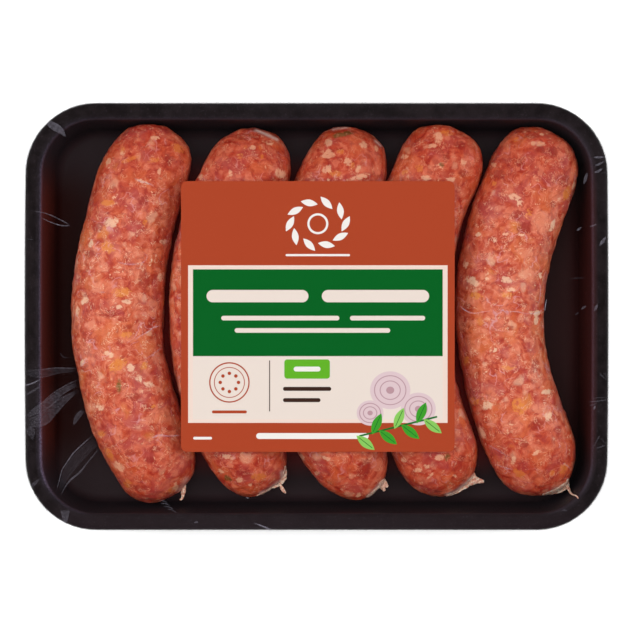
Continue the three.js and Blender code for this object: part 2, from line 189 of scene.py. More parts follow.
class Finish:
    """A material's nodes, with lengths in millimetres."""

    def __init__(self, name):
        self.material = bpy.data.materials.new(name)
        self.material.use_nodes = True
        self.tree = self.material.node_tree
        self.tree.nodes.clear()
        self.output = self.tree.nodes.new("ShaderNodeOutputMaterial")
        coordinates = self.tree.nodes.new("ShaderNodeTexCoord")
        self.place = self.vector("SCALE", coordinates.outputs["Object"], scale=1 / MM)

    def plug(self, socket, value):
        if isinstance(value, bpy.types.NodeSocket):
            self.tree.links.new(value, socket)
        elif isinstance(value, tuple) and len(value) == 3 and socket.type == "RGBA":
            socket.default_value = (*value, 1)
        else:
            socket.default_value = value

    def node(self, kind, inputs=None, **settings):
        node = self.tree.nodes.new(kind)
        for name, value in settings.items():
            setattr(node, name, value)
        for name, value in (inputs or {}).items():
            self.plug(node.inputs[name], value)
        return node

    def math(self, operation, first, second=0.0, third=0.0):
        node = self.node("ShaderNodeMath", operation=operation)
        for socket, value in zip(node.inputs, (first, second, third)):
            self.plug(socket, value)
        return node.outputs[0]

    def vector(self, operation, first, second=None, scale=None):
        node = self.node("ShaderNodeVectorMath", operation=operation)
        self.plug(node.inputs[0], first)
        if second is not None:
            self.plug(node.inputs[1], second)
        if scale is not None:
            self.plug(node.inputs["Scale"], scale)
        return node.outputs["Value" if operation == "LENGTH" else "Vector"]

    def parts(self, vector):
        return self.node("ShaderNodeSeparateXYZ", {0: vector}).outputs

    def painted(self, name):
        """The number that paint() left at each vertex under that name."""
        return self.node("ShaderNodeAttribute", attribute_name=name).outputs["Fac"]

    def between(self, value, low, high, start=0.0, end=1.0):
        """A smooth step from start to end as value goes from low to high."""
        inputs = {"Value": value, "From Min": low, "From Max": high, "To Min": start, "To Max": end}
        node = self.node("ShaderNodeMapRange", inputs, interpolation_type="SMOOTHSTEP")
        return node.outputs["Result"]

    def noise(self, place, size, detail=2.0, roughness=0.5, output="Fac"):
        inputs = {"Vector": place, "Scale": 1 / size, "Detail": detail, "Roughness": roughness}
        return self.node("ShaderNodeTexNoise", inputs).outputs[output]

    def cells(self, place, size, **settings):
        return self.node("ShaderNodeTexVoronoi", {"Vector": place, "Scale": 1 / size}, **settings)

    def channel(self, colour, index):
        return self.node("ShaderNodeSeparateColor", {"Color": colour}).outputs[index]

    def ramp(self, value, stops):
        node = self.node("ShaderNodeValToRGB", {"Fac": value})
        ramp = node.color_ramp
        while len(ramp.elements) < len(stops):
            ramp.elements.new(0.5)
        for element, (position, colour) in zip(ramp.elements, stops):
            element.position = position
            element.color = (*colour, 1)
        return node.outputs["Color"]

    def mix(self, share, first, second, blend="MIX"):
        node = self.node("ShaderNodeMix", data_type="RGBA", blend_type=blend)
        self.plug(node.inputs[0], share)
        self.plug(node.inputs[6], first)
        self.plug(node.inputs[7], second)
        return node.outputs[2]

    def warped(self, place, size, reach, detail=1.0):
        """The place, pushed about by a noise, so that what follows has ragged outlines."""
        colour = self.noise(place, size, detail, output="Color")
        centred = self.vector("SUBTRACT", colour, (0.5, 0.5, 0.5))
        return self.vector("ADD", place, self.vector("SCALE", centred, scale=2 * reach))

    def bump(self, height, distance, strength):
        inputs = {"Height": height, "Distance": distance * MM, "Strength": strength}
        return self.node("ShaderNodeBump", inputs).outputs["Normal"]

    def blend(self, share, first, second):
        """Two shaders in one, with that share of the second."""
        return self.node("ShaderNodeMixShader", {0: share, 1: first.outputs[0], 2: second.outputs[0]})

    def finish(self, shader):
        self.tree.links.new(shader.outputs[0], self.output.inputs["Surface"])
        return self.material

    def principled(self, inputs):
        return self.finish(self.node("ShaderNodeBsdfPrincipled", inputs))


def colour(red, green, blue):
    """A colour as the eye reads it, 0 to 255, in linear light."""

    def linear(value):
        value = value / 255
        return value / 12.92 if value <= 0.04045 else ((value + 0.055) / 1.055) ** 2.4

    return (linear(red), linear(green), linear(blue))


# Materials

DEEP_RED = colour(158, 42, 30)
LEAN_RED = colour(180, 60, 42)
ORANGE_LEAN = colour(206, 90, 58)
PINK_LEAN = colour(215, 110, 82)
PINK_FAT = colour(233, 144, 113)
CREAM_FAT = colour(246, 206, 172)
YELLOW_FAT = colour(228, 142, 62)
APRICOT = colour(222, 115, 64)
LILAC = colour(182, 78, 78)
MEMBRANE = colour(226, 164, 166)
CASING_PALE = colour(226, 196, 184)
HERB = colour(96, 92, 34)


def make_meat():
    """Ground meat seen through its casing: ragged patches of lean and fat, bits, strokes and membranes, with
    painted highlights in the finest pale strokes and bits, and painted shade towards the ends.
    """
    f = Finish("ground meat")
    loose = f.warped(f.place, 6.5, 2.6)
    ragged = f.warped(loose, 1.7, 0.75, detail=2.0)

    grind = f.noise(ragged, 2.3, 4.0, 0.6)
    body = f.ramp(
        grind, [(0.32, DEEP_RED), (0.42, LEAN_RED), (0.5, ORANGE_LEAN), (0.58, PINK_LEAN), (0.68, PINK_FAT)]
    )
    chunk = f.cells(ragged, 3.6, feature="SMOOTH_F1")
    chunk.inputs["Smoothness"].default_value = 0.6
    draw = f.channel(chunk.outputs["Color"], 0)
    chunks = f.ramp(draw, [(0.2, LEAN_RED), (0.5, ORANGE_LEAN), (0.8, PINK_FAT)])
    body = f.mix(0.35, body, chunks)
    region = f.noise(loose, 9.0, 2.0)
    body = f.mix(f.between(region, 0.52, 0.7, 0.0, 0.55), body, APRICOT)
    body = f.mix(f.between(region, 0.48, 0.33, 0.0, 0.6), body, LILAC)

    def bits(size, share, radius, tint, strength, soft=0.07):
        """Separate bits of one colour, in a share of the cells of that size."""
        cell = f.cells(ragged, size)
        draw = f.channel(cell.outputs["Color"], 2)
        reach = f.math("MULTIPLY", f.between(draw, 1 - share, 1.0), radius / size)
        inside = f.math("SUBTRACT", reach, cell.outputs["Distance"])
        return f.between(inside, -soft, soft, 0.0, strength), tint

    def strokes(size, width, patch, tint, strength):
        """Thin lines where a noise crosses its middle, kept to some patches."""
        level = f.math("ABSOLUTE", f.math("SUBTRACT", f.noise(ragged, size, 1.0), 0.5))
        kept = f.between(f.noise(f.place, patch, 1.0), 0.5, 0.62, 0.0, strength)
        return f.math("MULTIPLY", f.between(level, width, 0.0), kept), tint

    def spots(name, tint, strength, low=0.34, high=0.72):
        """Spots painted on the sausage under that name, with ragged edges."""
        spot = f.painted(name)
        tooth = f.math("MULTIPLY_ADD", f.noise(ragged, 1.3, 3.0, 0.6), 3.2, -0.6)
        return f.between(f.math("MULTIPLY", spot, tooth), low, high, 0.0, strength), tint

    for mask, tint in (
        bits(6.1, 0.35, 2.0, DEEP_RED, 0.4, 0.12),
        bits(2.4, 0.35, 0.7, DEEP_RED, 0.45),
        bits(3.6, 0.4, 1.3, PINK_FAT, 0.5),
        bits(6.4, 0.4, 1.9, CREAM_FAT, 0.4, 0.1),
        bits(11.0, 0.4, 2.6, YELLOW_FAT, 0.5, 0.08),
        spots("deep", DEEP_RED, 0.7, 0.12, 0.6),
        spots("pink", PINK_FAT, 0.65, 0.22, 0.65),
        spots("yellow", YELLOW_FAT, 0.72),
        spots("cream", CREAM_FAT, 0.72),
        spots("herb", HERB, 0.75, 0.12, 0.6),
        strokes(2.0, 0.05, 4.0, PINK_FAT, 0.55),
        # Crisp cream strokes: painted highlights, small glints of the wet casing under the film
        strokes(1.3, 0.05, 3.0, CREAM_FAT, 0.55),
        # Thin lilac lines of membrane, partly painted glints of the wrinkled film and casing
        strokes(6.5, 0.02, 8.0, MEMBRANE, 0.6),
        # Tiny cream bits: painted highlights, sparkles on the wet surface
        bits(1.9, 0.22, 0.36, CREAM_FAT, 0.75),
    ):
        body = f.mix(mask, body, tint)

    # Towards its tied ends the meat is painted darker and redder: painted shade, where the ends round away
    # from the light
    along = f.parts(f.place)[1]
    ends = f.between(f.math("ABSOLUTE", along), 30.0, 62.0)
    body = f.mix(ends, body, (0.84, 0.6, 0.53), blend="MULTIPLY")

    pale = f.painted("casing")
    body = f.mix(pale, body, CASING_PALE)

    height = f.math("ADD", grind, f.math("MULTIPLY", chunk.outputs["Distance"], 0.5))
    return f.principled({
        "Base Color": body,
        "Roughness": f.between(f.noise(f.place, 2.0, 2.0), 0.3, 0.7, 0.3, 0.5),
        "Normal": f.bump(height, 0.5, 0.5),
        "Subsurface Weight": 0.12,
        "Subsurface Radius": (1.0, 0.35, 0.2),
        "Subsurface Scale": 1.6 * MM,
        "Specular IOR Level": 0.45,
        "Coat Weight": 0.2,
        "Coat Roughness": 0.18,
    })


def make_casing():
    f = Finish("dry casing")
    streak = f.noise(f.warped(f.place, 1.5, 0.5), 0.8, 3.0)
    tint = f.ramp(
        streak, [(0.34, colour(208, 132, 110)), (0.48, colour(236, 182, 158)), (0.62, colour(250, 226, 204))]
    )
    return f.principled({
        "Base Color": tint,
        "Roughness": 0.42,
        "Normal": f.bump(streak, 0.3, 0.6),
        "Subsurface Weight": 0.3,
        "Subsurface Radius": (1.0, 0.6, 0.5),
        "Subsurface Scale": 1.0 * MM,
    })


def make_foam():
    """Black pressed foam: a fine skin of cells, with a soft sheen, and painted red light inside, thrown by
    the sausages.
    """
    f = Finish("black foam")
    cells = f.cells(f.warped(f.place, 1.2, 0.3), 0.8)
    grain = f.noise(f.place, 0.35, 3.0, 0.6)
    height = f.math("ADD", f.math("MULTIPLY", cells.outputs["Distance"], 0.5), grain)
    patch = f.between(f.noise(f.place, 5.0, 4.0, 0.6), 0.35, 0.65)
    skin = f.mix(patch, colour(19, 13, 14), colour(30, 23, 25))
    across, along, level = f.parts(f.place)
    skin = f.mix(f.between(along, -66.0, -79.5, 0.0, 0.7), skin, colour(37, 27, 31))
    pore = f.between(f.noise(f.place, 0.7, 2.0, 0.6), 0.6, 0.72, 0.0, 0.5)
    skin = f.mix(pore, skin, colour(58, 50, 56))
    straight = f.between(f.math("ABSOLUTE", along), 64.0, 42.0)
    left = f.math("MULTIPLY", f.between(across, -70.0, -98.0), straight)
    right = f.math("MULTIPLY", f.between(across, 70.0, 98.0), straight)
    high = f.between(level, 5.2, 9.6)
    # Inside, the walls and floor are painted in warm reds, most on the left and right: painted light, the red
    # light the sausages throw on the black foam, and painted fill in the shade at the floor
    low_tint = f.mix(left, f.mix(right, colour(45, 33, 36), colour(49, 23, 23)), colour(39, 9, 6))
    high_tint = f.mix(left, f.mix(right, colour(40, 33, 37), colour(54, 22, 20)), colour(82, 34, 27))
    # Between the sausages the floor is painted red: painted light where the sausages' red light fills the
    # shade
    under = f.math("MULTIPLY", f.between(f.math("ABSOLUTE", across), 74.0, 62.0), straight)
    low_tint = f.mix(under, low_tint, colour(150, 20, 12))
    painted_red_bounce = f.mix(high, low_tint, high_tint)
    inside = f.painted("inside")
    tint = f.mix(inside, skin, painted_red_bounce)
    # A pale line of painted highlight along the rounded inner edge of the rim
    uneven = f.painted("crest")
    speck = f.between(f.noise(f.place, 0.5, 3.0, 0.7), 0.35, 0.7, 0.25, 1.4)
    tint = f.mix(f.math("MULTIPLY", uneven, speck), tint, colour(112, 98, 122))
    return f.principled({
        "Base Color": tint,
        "Roughness": f.between(grain, 0.3, 0.7, 0.4, 0.56),
        "Normal": f.bump(height, 0.12, 0.35),
        "Specular IOR Level": 0.22,
    })


def make_film():
    """Clear stretch film, a little milky where it is creased, with painted glints along the pleats of its
    skirt.
    """
    f = Finish("clear film")
    creased = f.painted("haze_and_glint")
    resting = f.painted("contact")
    stretched = f.vector("MULTIPLY", f.place, (0.55, 1.5, 1.0))
    ripple = f.noise(f.warped(stretched, 5.0, 3.0), 1.7, 3.0, 0.6)
    normal = f.bump(f.math("MULTIPLY", ripple, resting), 0.55, 0.8)
    gloss = f.node(
        "ShaderNodeBsdfAnisotropic", {"Color": (1.0, 1.0, 1.0), "Roughness": 0.09, "Normal": normal}
    )
    clear = f.node("ShaderNodeBsdfTransparent", {"Color": (0.985, 0.985, 0.985)})
    milk_and_glint = f.node("ShaderNodeBsdfDiffuse", {"Color": colour(190, 190, 205)})
    # The film is one sheet, so it reflects alike from both sides
    slant = f.node("ShaderNodeLayerWeight", {"Blend": 0.5, "Normal": normal}).outputs["Facing"]
    share = f.math("MULTIPLY_ADD", f.math("POWER", slant, 5.0), 0.9, 0.035)
    return f.finish(f.blend(f.math("MULTIPLY", creased, 0.3), f.blend(share, clear, gloss), milk_and_glint))


def make_fold_and_glint():
    """The film where it lies double, and thin lines of painted glints: clear, and a little milky."""
    f = Finish("doubled film")
    milk_and_glint = f.painted("milk_and_glint")
    streak = f.noise(f.vector("MULTIPLY", f.place, (1.0, 1.6, 1.0)), 1.1, 3.0, 0.6)
    share = f.math("MULTIPLY", milk_and_glint, f.between(streak, 0.3, 0.7, 0.5, 1.4))
    clear = f.node("ShaderNodeBsdfTransparent", {"Color": (1.0, 1.0, 1.0)})
    body = f.node("ShaderNodeBsdfDiffuse", {"Color": colour(226, 220, 240)})
    return f.finish(f.blend(share, clear, body))


# The label's print, in millimetres from the label's centre


def ink(red, green, blue):
    """A colour of the print, a little darker than it looks in the strong light."""
    return tuple(0.86 * value for value in colour(red, green, blue))


RUST = ink(176, 69, 39)
GREEN = ink(1, 97, 33)
CREAM = ink(238, 223, 212)
CREAM_LINE = ink(244, 220, 207)
LIME = ink(100, 180, 40)
WHITE = ink(246, 240, 234)
DARK_PRINT = ink(60, 38, 30)
LEAF = ink(62, 160, 44)
LEAF_LIGHT = ink(140, 204, 96)
LEAF_DARK = ink(18, 110, 40)
BULB = ink(226, 200, 204)
BULB_SHADE = ink(190, 150, 158)
PAPER_FLECK = 0.002


class Print:
    """Fields of colour and simple shapes, laid one over another."""

    # Half the width over which a shape's edge fades
    EDGE = 0.09

    def __init__(self, finish, ground):
        self.f = finish
        self.tint = ground
        centre = LABEL_CENTRE / MM
        self.place = finish.vector("SUBTRACT", finish.place, (centre.x, centre.y, 0))

    def turned(self, x, y, turn):
        """Coordinates about a point, turned by an angle in degrees."""
        away = self.f.vector("SUBTRACT", self.place, (x, y, 0))
        inputs = {"Vector": away, "Angle": -math.radians(turn)}
        return self.f.node("ShaderNodeVectorRotate", inputs, rotation_type="Z_AXIS").outputs[0]

    def lay(self, distance, tint):
        """Colours the inside of a shape, from the distance beyond its outline."""
        self.tint = self.f.mix(self.f.between(distance, self.EDGE, -self.EDGE), self.tint, tint)

    def bar(self, x, y, length, width, tint, corner=0.0, turn=0.0):
        f = self.f
        away = f.vector("ABSOLUTE", self.turned(x, y, turn))
        away = f.vector("SUBTRACT", away, (length / 2 - corner, width / 2 - corner, 0))
        away = f.vector("MULTIPLY", away, (1, 1, 0))
        beyond = f.vector("LENGTH", f.vector("MAXIMUM", away, (0, 0, 0)))
        parts = f.parts(away)
        within = f.math("MINIMUM", f.math("MAXIMUM", parts[0], parts[1]), 0.0)
        self.lay(f.math("SUBTRACT", f.math("ADD", beyond, within), corner), tint)

    def oval(self, x, y, length, width, tint, turn=0.0, line=None, tip=0.0):
        """A filled oval, or its outline where line is given. A tip draws its ends out, as a leaf's."""
        f = self.f
        near = f.vector("MULTIPLY", self.turned(x, y, turn), (2 / length, 2 / width, 0))
        if tip:
            parts = f.parts(near)
            along = f.math("ABSOLUTE", parts[0])
            across = f.math("ABSOLUTE", parts[1])
            edge = f.math("SUBTRACT", 1.0, f.math("POWER", along, 1 + tip))
            distance = f.math("MULTIPLY", f.math("SUBTRACT", across, edge), width / 2)
        else:
            reach = f.math("SUBTRACT", f.vector("LENGTH", near), 1.0)
            distance = f.math("MULTIPLY", reach, min(length, width) / 2)
        if line is not None:
            distance = f.math("SUBTRACT", f.math("ABSOLUTE", distance), line / 2)
        self.lay(distance, tint)


def make_label():
    f = Finish("label print")
    p = Print(f, RUST)
    # Panels
    p.bar(0.0, -10.3, 96.8, 58.8, CREAM_LINE)
    p.bar(0.0, -25.9, 93.2, 25.0, CREAM)
    p.bar(0.0, 1.4, 93.2, 32.4, GREEN)
    # A ring of leaves above, where a name would be
    for leaf in range(10):
        angle = math.radians(36 * leaf)
        x, y = 10.4 * math.cos(angle), 34.6 + 8.2 * math.sin(angle)
        p.oval(x, y, 6.4, 2.5, WHITE, turn=36 * leaf + 62, tip=0.8)
    p.oval(0.0, 34.6, 7.0, 7.0, WHITE, line=0.8)
    p.bar(0.0, 22.9, 24.0, 0.8, WHITE, corner=0.4)
    # Rows of plain bars where words would be
    for x, y, length, width in (
        (-22.5, 7.6, 38.0, 4.6),
        (21.5, 7.6, 40.0, 4.6),
        (-14.0, -0.6, 44.0, 1.7),
        (26.0, -0.6, 28.0, 1.7),
        (-2.0, -5.2, 58.0, 1.7),
    ):
        p.bar(x, y, length, width, CREAM, corner=width / 2)
    for x, y, length in ((-4.0, -27.0, 18.0), (-6.0, -31.2, 14.0)):
        p.bar(x, y, length, 1.5, DARK_PRINT, corner=0.75)
    p.bar(-18.0, -25.9, 0.35, 19.0, DARK_PRINT)
    p.bar(-4.0, -19.6, 17.0, 7.2, LIME, corner=1.1)
    p.bar(-4.0, -19.6, 10.0, 1.8, WHITE, corner=0.9)
    p.oval(-33.0, -24.6, 14.6, 14.6, RUST, line=0.5)
    p.oval(-33.0, -24.6, 11.2, 11.2, RUST, line=0.3)
    for step in range(8):
        angle = math.radians(45 * step)
        p.oval(-33.0 + 3.4 * math.cos(angle), -24.6 + 3.4 * math.sin(angle), 1.3, 1.3, RUST)
    p.bar(-33.0, -35.6, 13.0, 1.1, RUST, corner=0.5)
    p.bar(-2.0, -44.6, 42.0, 2.2, WHITE, corner=1.1)
    p.bar(-43.0, -45.4, 7.0, 1.0, WHITE, corner=0.5)
    # A sprig and round slices at the lower right
    for x, y, size in ((27.0, -27.5, 15.0), (37.5, -34.5, 13.0), (19.5, -36.0, 10.0)):
        p.oval(x, y, size, size * 0.94, BULB)
        p.oval(x, y, size * 0.78, size * 0.72, BULB_SHADE, line=0.35)
        p.oval(x, y, size * 0.5, size * 0.46, BULB_SHADE, line=0.35)
        p.oval(x, y, size * 0.2, size * 0.18, BULB_SHADE)
    p.bar(30.0, -41.0, 30.0, 0.7, LEAF_DARK, corner=0.3, turn=14)
    for leaf in range(7):
        along = -13.0 + 4.3 * leaf
        x, y = 30.0 + along * 0.97, -41.0 + along * 0.24
        side = 1 if leaf % 2 else -1
        tint = LEAF if leaf % 3 else LEAF_LIGHT
        p.oval(x + 0.4, y + 3.0 * side, 8.6, 3.4, tint, turn=14 + 52 * side, tip=0.9)
        p.bar(x + 0.4, y + 3.0 * side, 6.4, 0.25, LEAF_DARK, turn=14 + 52 * side)
    fleck = f.noise(f.place, 0.5, 2.0)
    tint = f.mix(PAPER_FLECK, p.tint, f.mix(fleck, (0.0, 0.0, 0.0), (1.0, 1.0, 1.0)))
    return f.principled({
        "Base Color": tint,
        "Roughness": 0.5,
        "Normal": f.bump(f.noise(f.place, 0.4, 3.0), 0.02, 0.3),
        "Specular IOR Level": 0.05,
    })


# The tray


OUTLINE_POINTS = 220


def outline(count, inset):
    """Points evenly round the pack's outline, anticlockwise."""
    reach = CORNER_RADIUS - inset
    straight_x, straight_y, bend = 2 * CORE_X, 2 * CORE_Y, reach * math.pi / 2
    total = 2 * (straight_x + straight_y) + 4 * bend
    points = []
    for step in range(count):
        run = total * step / count
        quarter = 0
        while run >= bend + (straight_x, straight_y)[quarter % 2]:
            run -= bend + (straight_x, straight_y)[quarter % 2]
            quarter += 1
        side_x = (1, -1, -1, 1)[quarter]
        side_y = (1, 1, -1, -1)[quarter]
        start = math.pi / 2 * quarter
        angle = start + min(run, bend) / reach
        rest = max(0.0, run - bend)
        x = side_x * CORE_X + reach * math.cos(angle) - rest * math.sin(angle)
        y = side_y * CORE_Y + reach * math.sin(angle) + rest * math.cos(angle)
        points.append((x, y))
    return np.array(points)


def select_faces(piece, wanted):
    """Selects the faces whose normal answers to wanted."""
    bpy.ops.mesh.select_all(action="DESELECT")
    object_mode()
    for polygon in piece.data.polygons:
        polygon.select = wanted(polygon.normal)
    edit_mode()


def build_tray(foam):
    """A slab of the rim's outline, drawn down inside to the floor and outside to the base, inset by inset."""
    film_room = 0.15 * MM
    edge_low, edge_high = RIM_FOOT + 1.0 * MM, RIM_TOP - 1.2 * MM
    deselect()
    place = (0, 0, edge_low)
    bpy.ops.mesh.primitive_circle_add(vertices=OUTLINE_POINTS, radius=1, fill_type="NGON", location=place)
    tray = new_piece("foam_tray")
    places = points_of(tray)
    places[:, :2] = outline(len(places), film_room)
    move_points(tray, places)
    edit_mode()
    bpy.ops.mesh.select_mode(type="FACE")
    bpy.ops.mesh.select_all(action="SELECT")
    bpy.ops.mesh.normals_make_consistent(inside=False)
    bpy.ops.mesh.extrude_region_move(TRANSFORM_OT_translate={"value": (0, 0, edge_high - edge_low)})
    # Inwards and along the face's normal: over the rim, down the wall and round to the floor
    wall_drop = RIM_TOP - FLOOR_HEIGHT
    inside_steps = [
        (0.16, 0.55), (0.35, 0.42), (0.69, 0.23),
        (1.3, 0.0), (1.3, 0.0), (1.4, 0.0),
        (0.5, -0.08), (0.4, -0.28), (0.28, -0.5), (0.14, -0.9),
        (0.7, -5.0), (0.7, -5.0), (0.75, -(wall_drop / MM - 16.0)),
        (0.35, -1.6), (0.65, -1.4), (1.0, -0.8), (1.4, -0.44), (3.0, 0.0), (7.0, 0.0),
    ]
    # Out to in under the rim, down the outside of the wall and round to the base
    outside_steps = [
        (0.2, 0.6), (0.6, 0.4), (2.3, 0.0),
        (0.5, 0.3), (0.35, 1.2), (1.0, 6.0), (1.3, 8.0),
        (0.9, 5.0), (0.5, 1.4), (0.9, 0.7), (1.4, 0.3), (3.0, 0.0), (7.0, 0.0),
    ]
    select_faces(tray, lambda normal: normal.z > 0.9)
    for inwards, onwards in inside_steps:
        bpy.ops.mesh.inset(thickness=inwards * MM, depth=onwards * MM)
    select_faces(tray, lambda normal: normal.z < -0.9)
    reached = sum(onwards for _, onwards in outside_steps) * MM
    stretch = (edge_low - TRAY_UNDER) / reached
    for inwards, onwards in outside_steps:
        bpy.ops.mesh.inset(thickness=inwards * MM, depth=onwards * MM * stretch)
    object_mode()
    places = points_of(tray)
    paint(tray, "inside", inside_of_tray(places))
    paint(tray, "crest", crest_of_wall(places))
    places[:, 0] = bow(places[:, 0], places[:, 1])
    move_points(tray, places)
    return finish_piece(tray, foam, "tray", smooth=50)


def inside_of_tray(places):
    """1 on the inner walls and the floor, 0 on the rim and the outside."""
    depth = depth_inside(places[:, 0], places[:, 1]) / MM
    height = places[:, 2] / MM
    edge = 6.1 - 0.8 * rising(places[:, 0] / MM, 84, 10)
    above_floor = height > 3.0
    return np.clip((depth - edge - (26.4 - height) * 0.12) / 0.4, 0, 1) * above_floor


def crest_of_wall(places):
    """The pale line of painted highlight where the rim turns down into the tray, plainest on the left."""
    depth = depth_inside(places[:, 0], places[:, 1]) / MM
    line = np.exp(-(((depth - 6.0) / 0.5) ** 2)) * (places[:, 2] > RIM_TOP - 3.0 * MM)
    across, along = places[:, 0] / MM, places[:, 1] / MM
    left, right = rising(-across, 84, 10), rising(across, 84, 10)
    top, bottom = rising(along, 56, 10), rising(-along, 62, 6)
    brightest = np.exp(-(((along + 50) / 14) ** 2))
    sides = (1 - 0.8 * top) * (left * (0.36 + 0.5 * brightest) + 0.14 * right)
    return line * (0.03 * (1 - bottom) + sides * (1 - 0.6 * bottom) + 0.06 * top)


# The sausages


def lumps(name, size):
    texture = bpy.data.textures.new(name, "CLOUDS")
    texture.noise_scale = size * MM
    texture.noise_depth = 1
    return texture


# Pale casing gathered towards each tied end, and a painted highlight along a top end: from, to, half width in
# millimetres, and how pale
CASING_BANDS_AND_HIGHLIGHTS = {
    1: [((-49.2, -61.5), (-51.9, -66.3), 1, 0.3)],
    2: [
        ((-22.8, 70.5), (-14.9, 67), 0.6, 0.8), ((-21, -66.9), (-17.4, -65.8), 0.7, 0.8),
        ((-17.4, -65.8), (-14.4, -63.4), 1, 0.8), ((-12.9, -59), (-12.6, -62.4), 0.8, 0.8),
    ],
    3: [
        ((6.2, 70.9), (11.5, 71.4), 0.5, 0.5), ((22.3, 66.4), (24.3, 64.8), 0.5, 0.7),
        ((19.8, -68.2), (24.6, -63.4), 0.8, 0.85),
    ],
    4: [
        ((49.4, -67.6), (53.6, -66.4), 0.7, 0.9), ((53.6, -66.4), (58.4, -62.4), 1, 0.9),
    ],
    5: [
        ((87.4, -67.2), (91, -66.6), 0.8, 0.9), ((91, -66.4), (96, -64.6), 1.5, 0.9),
    ],
}

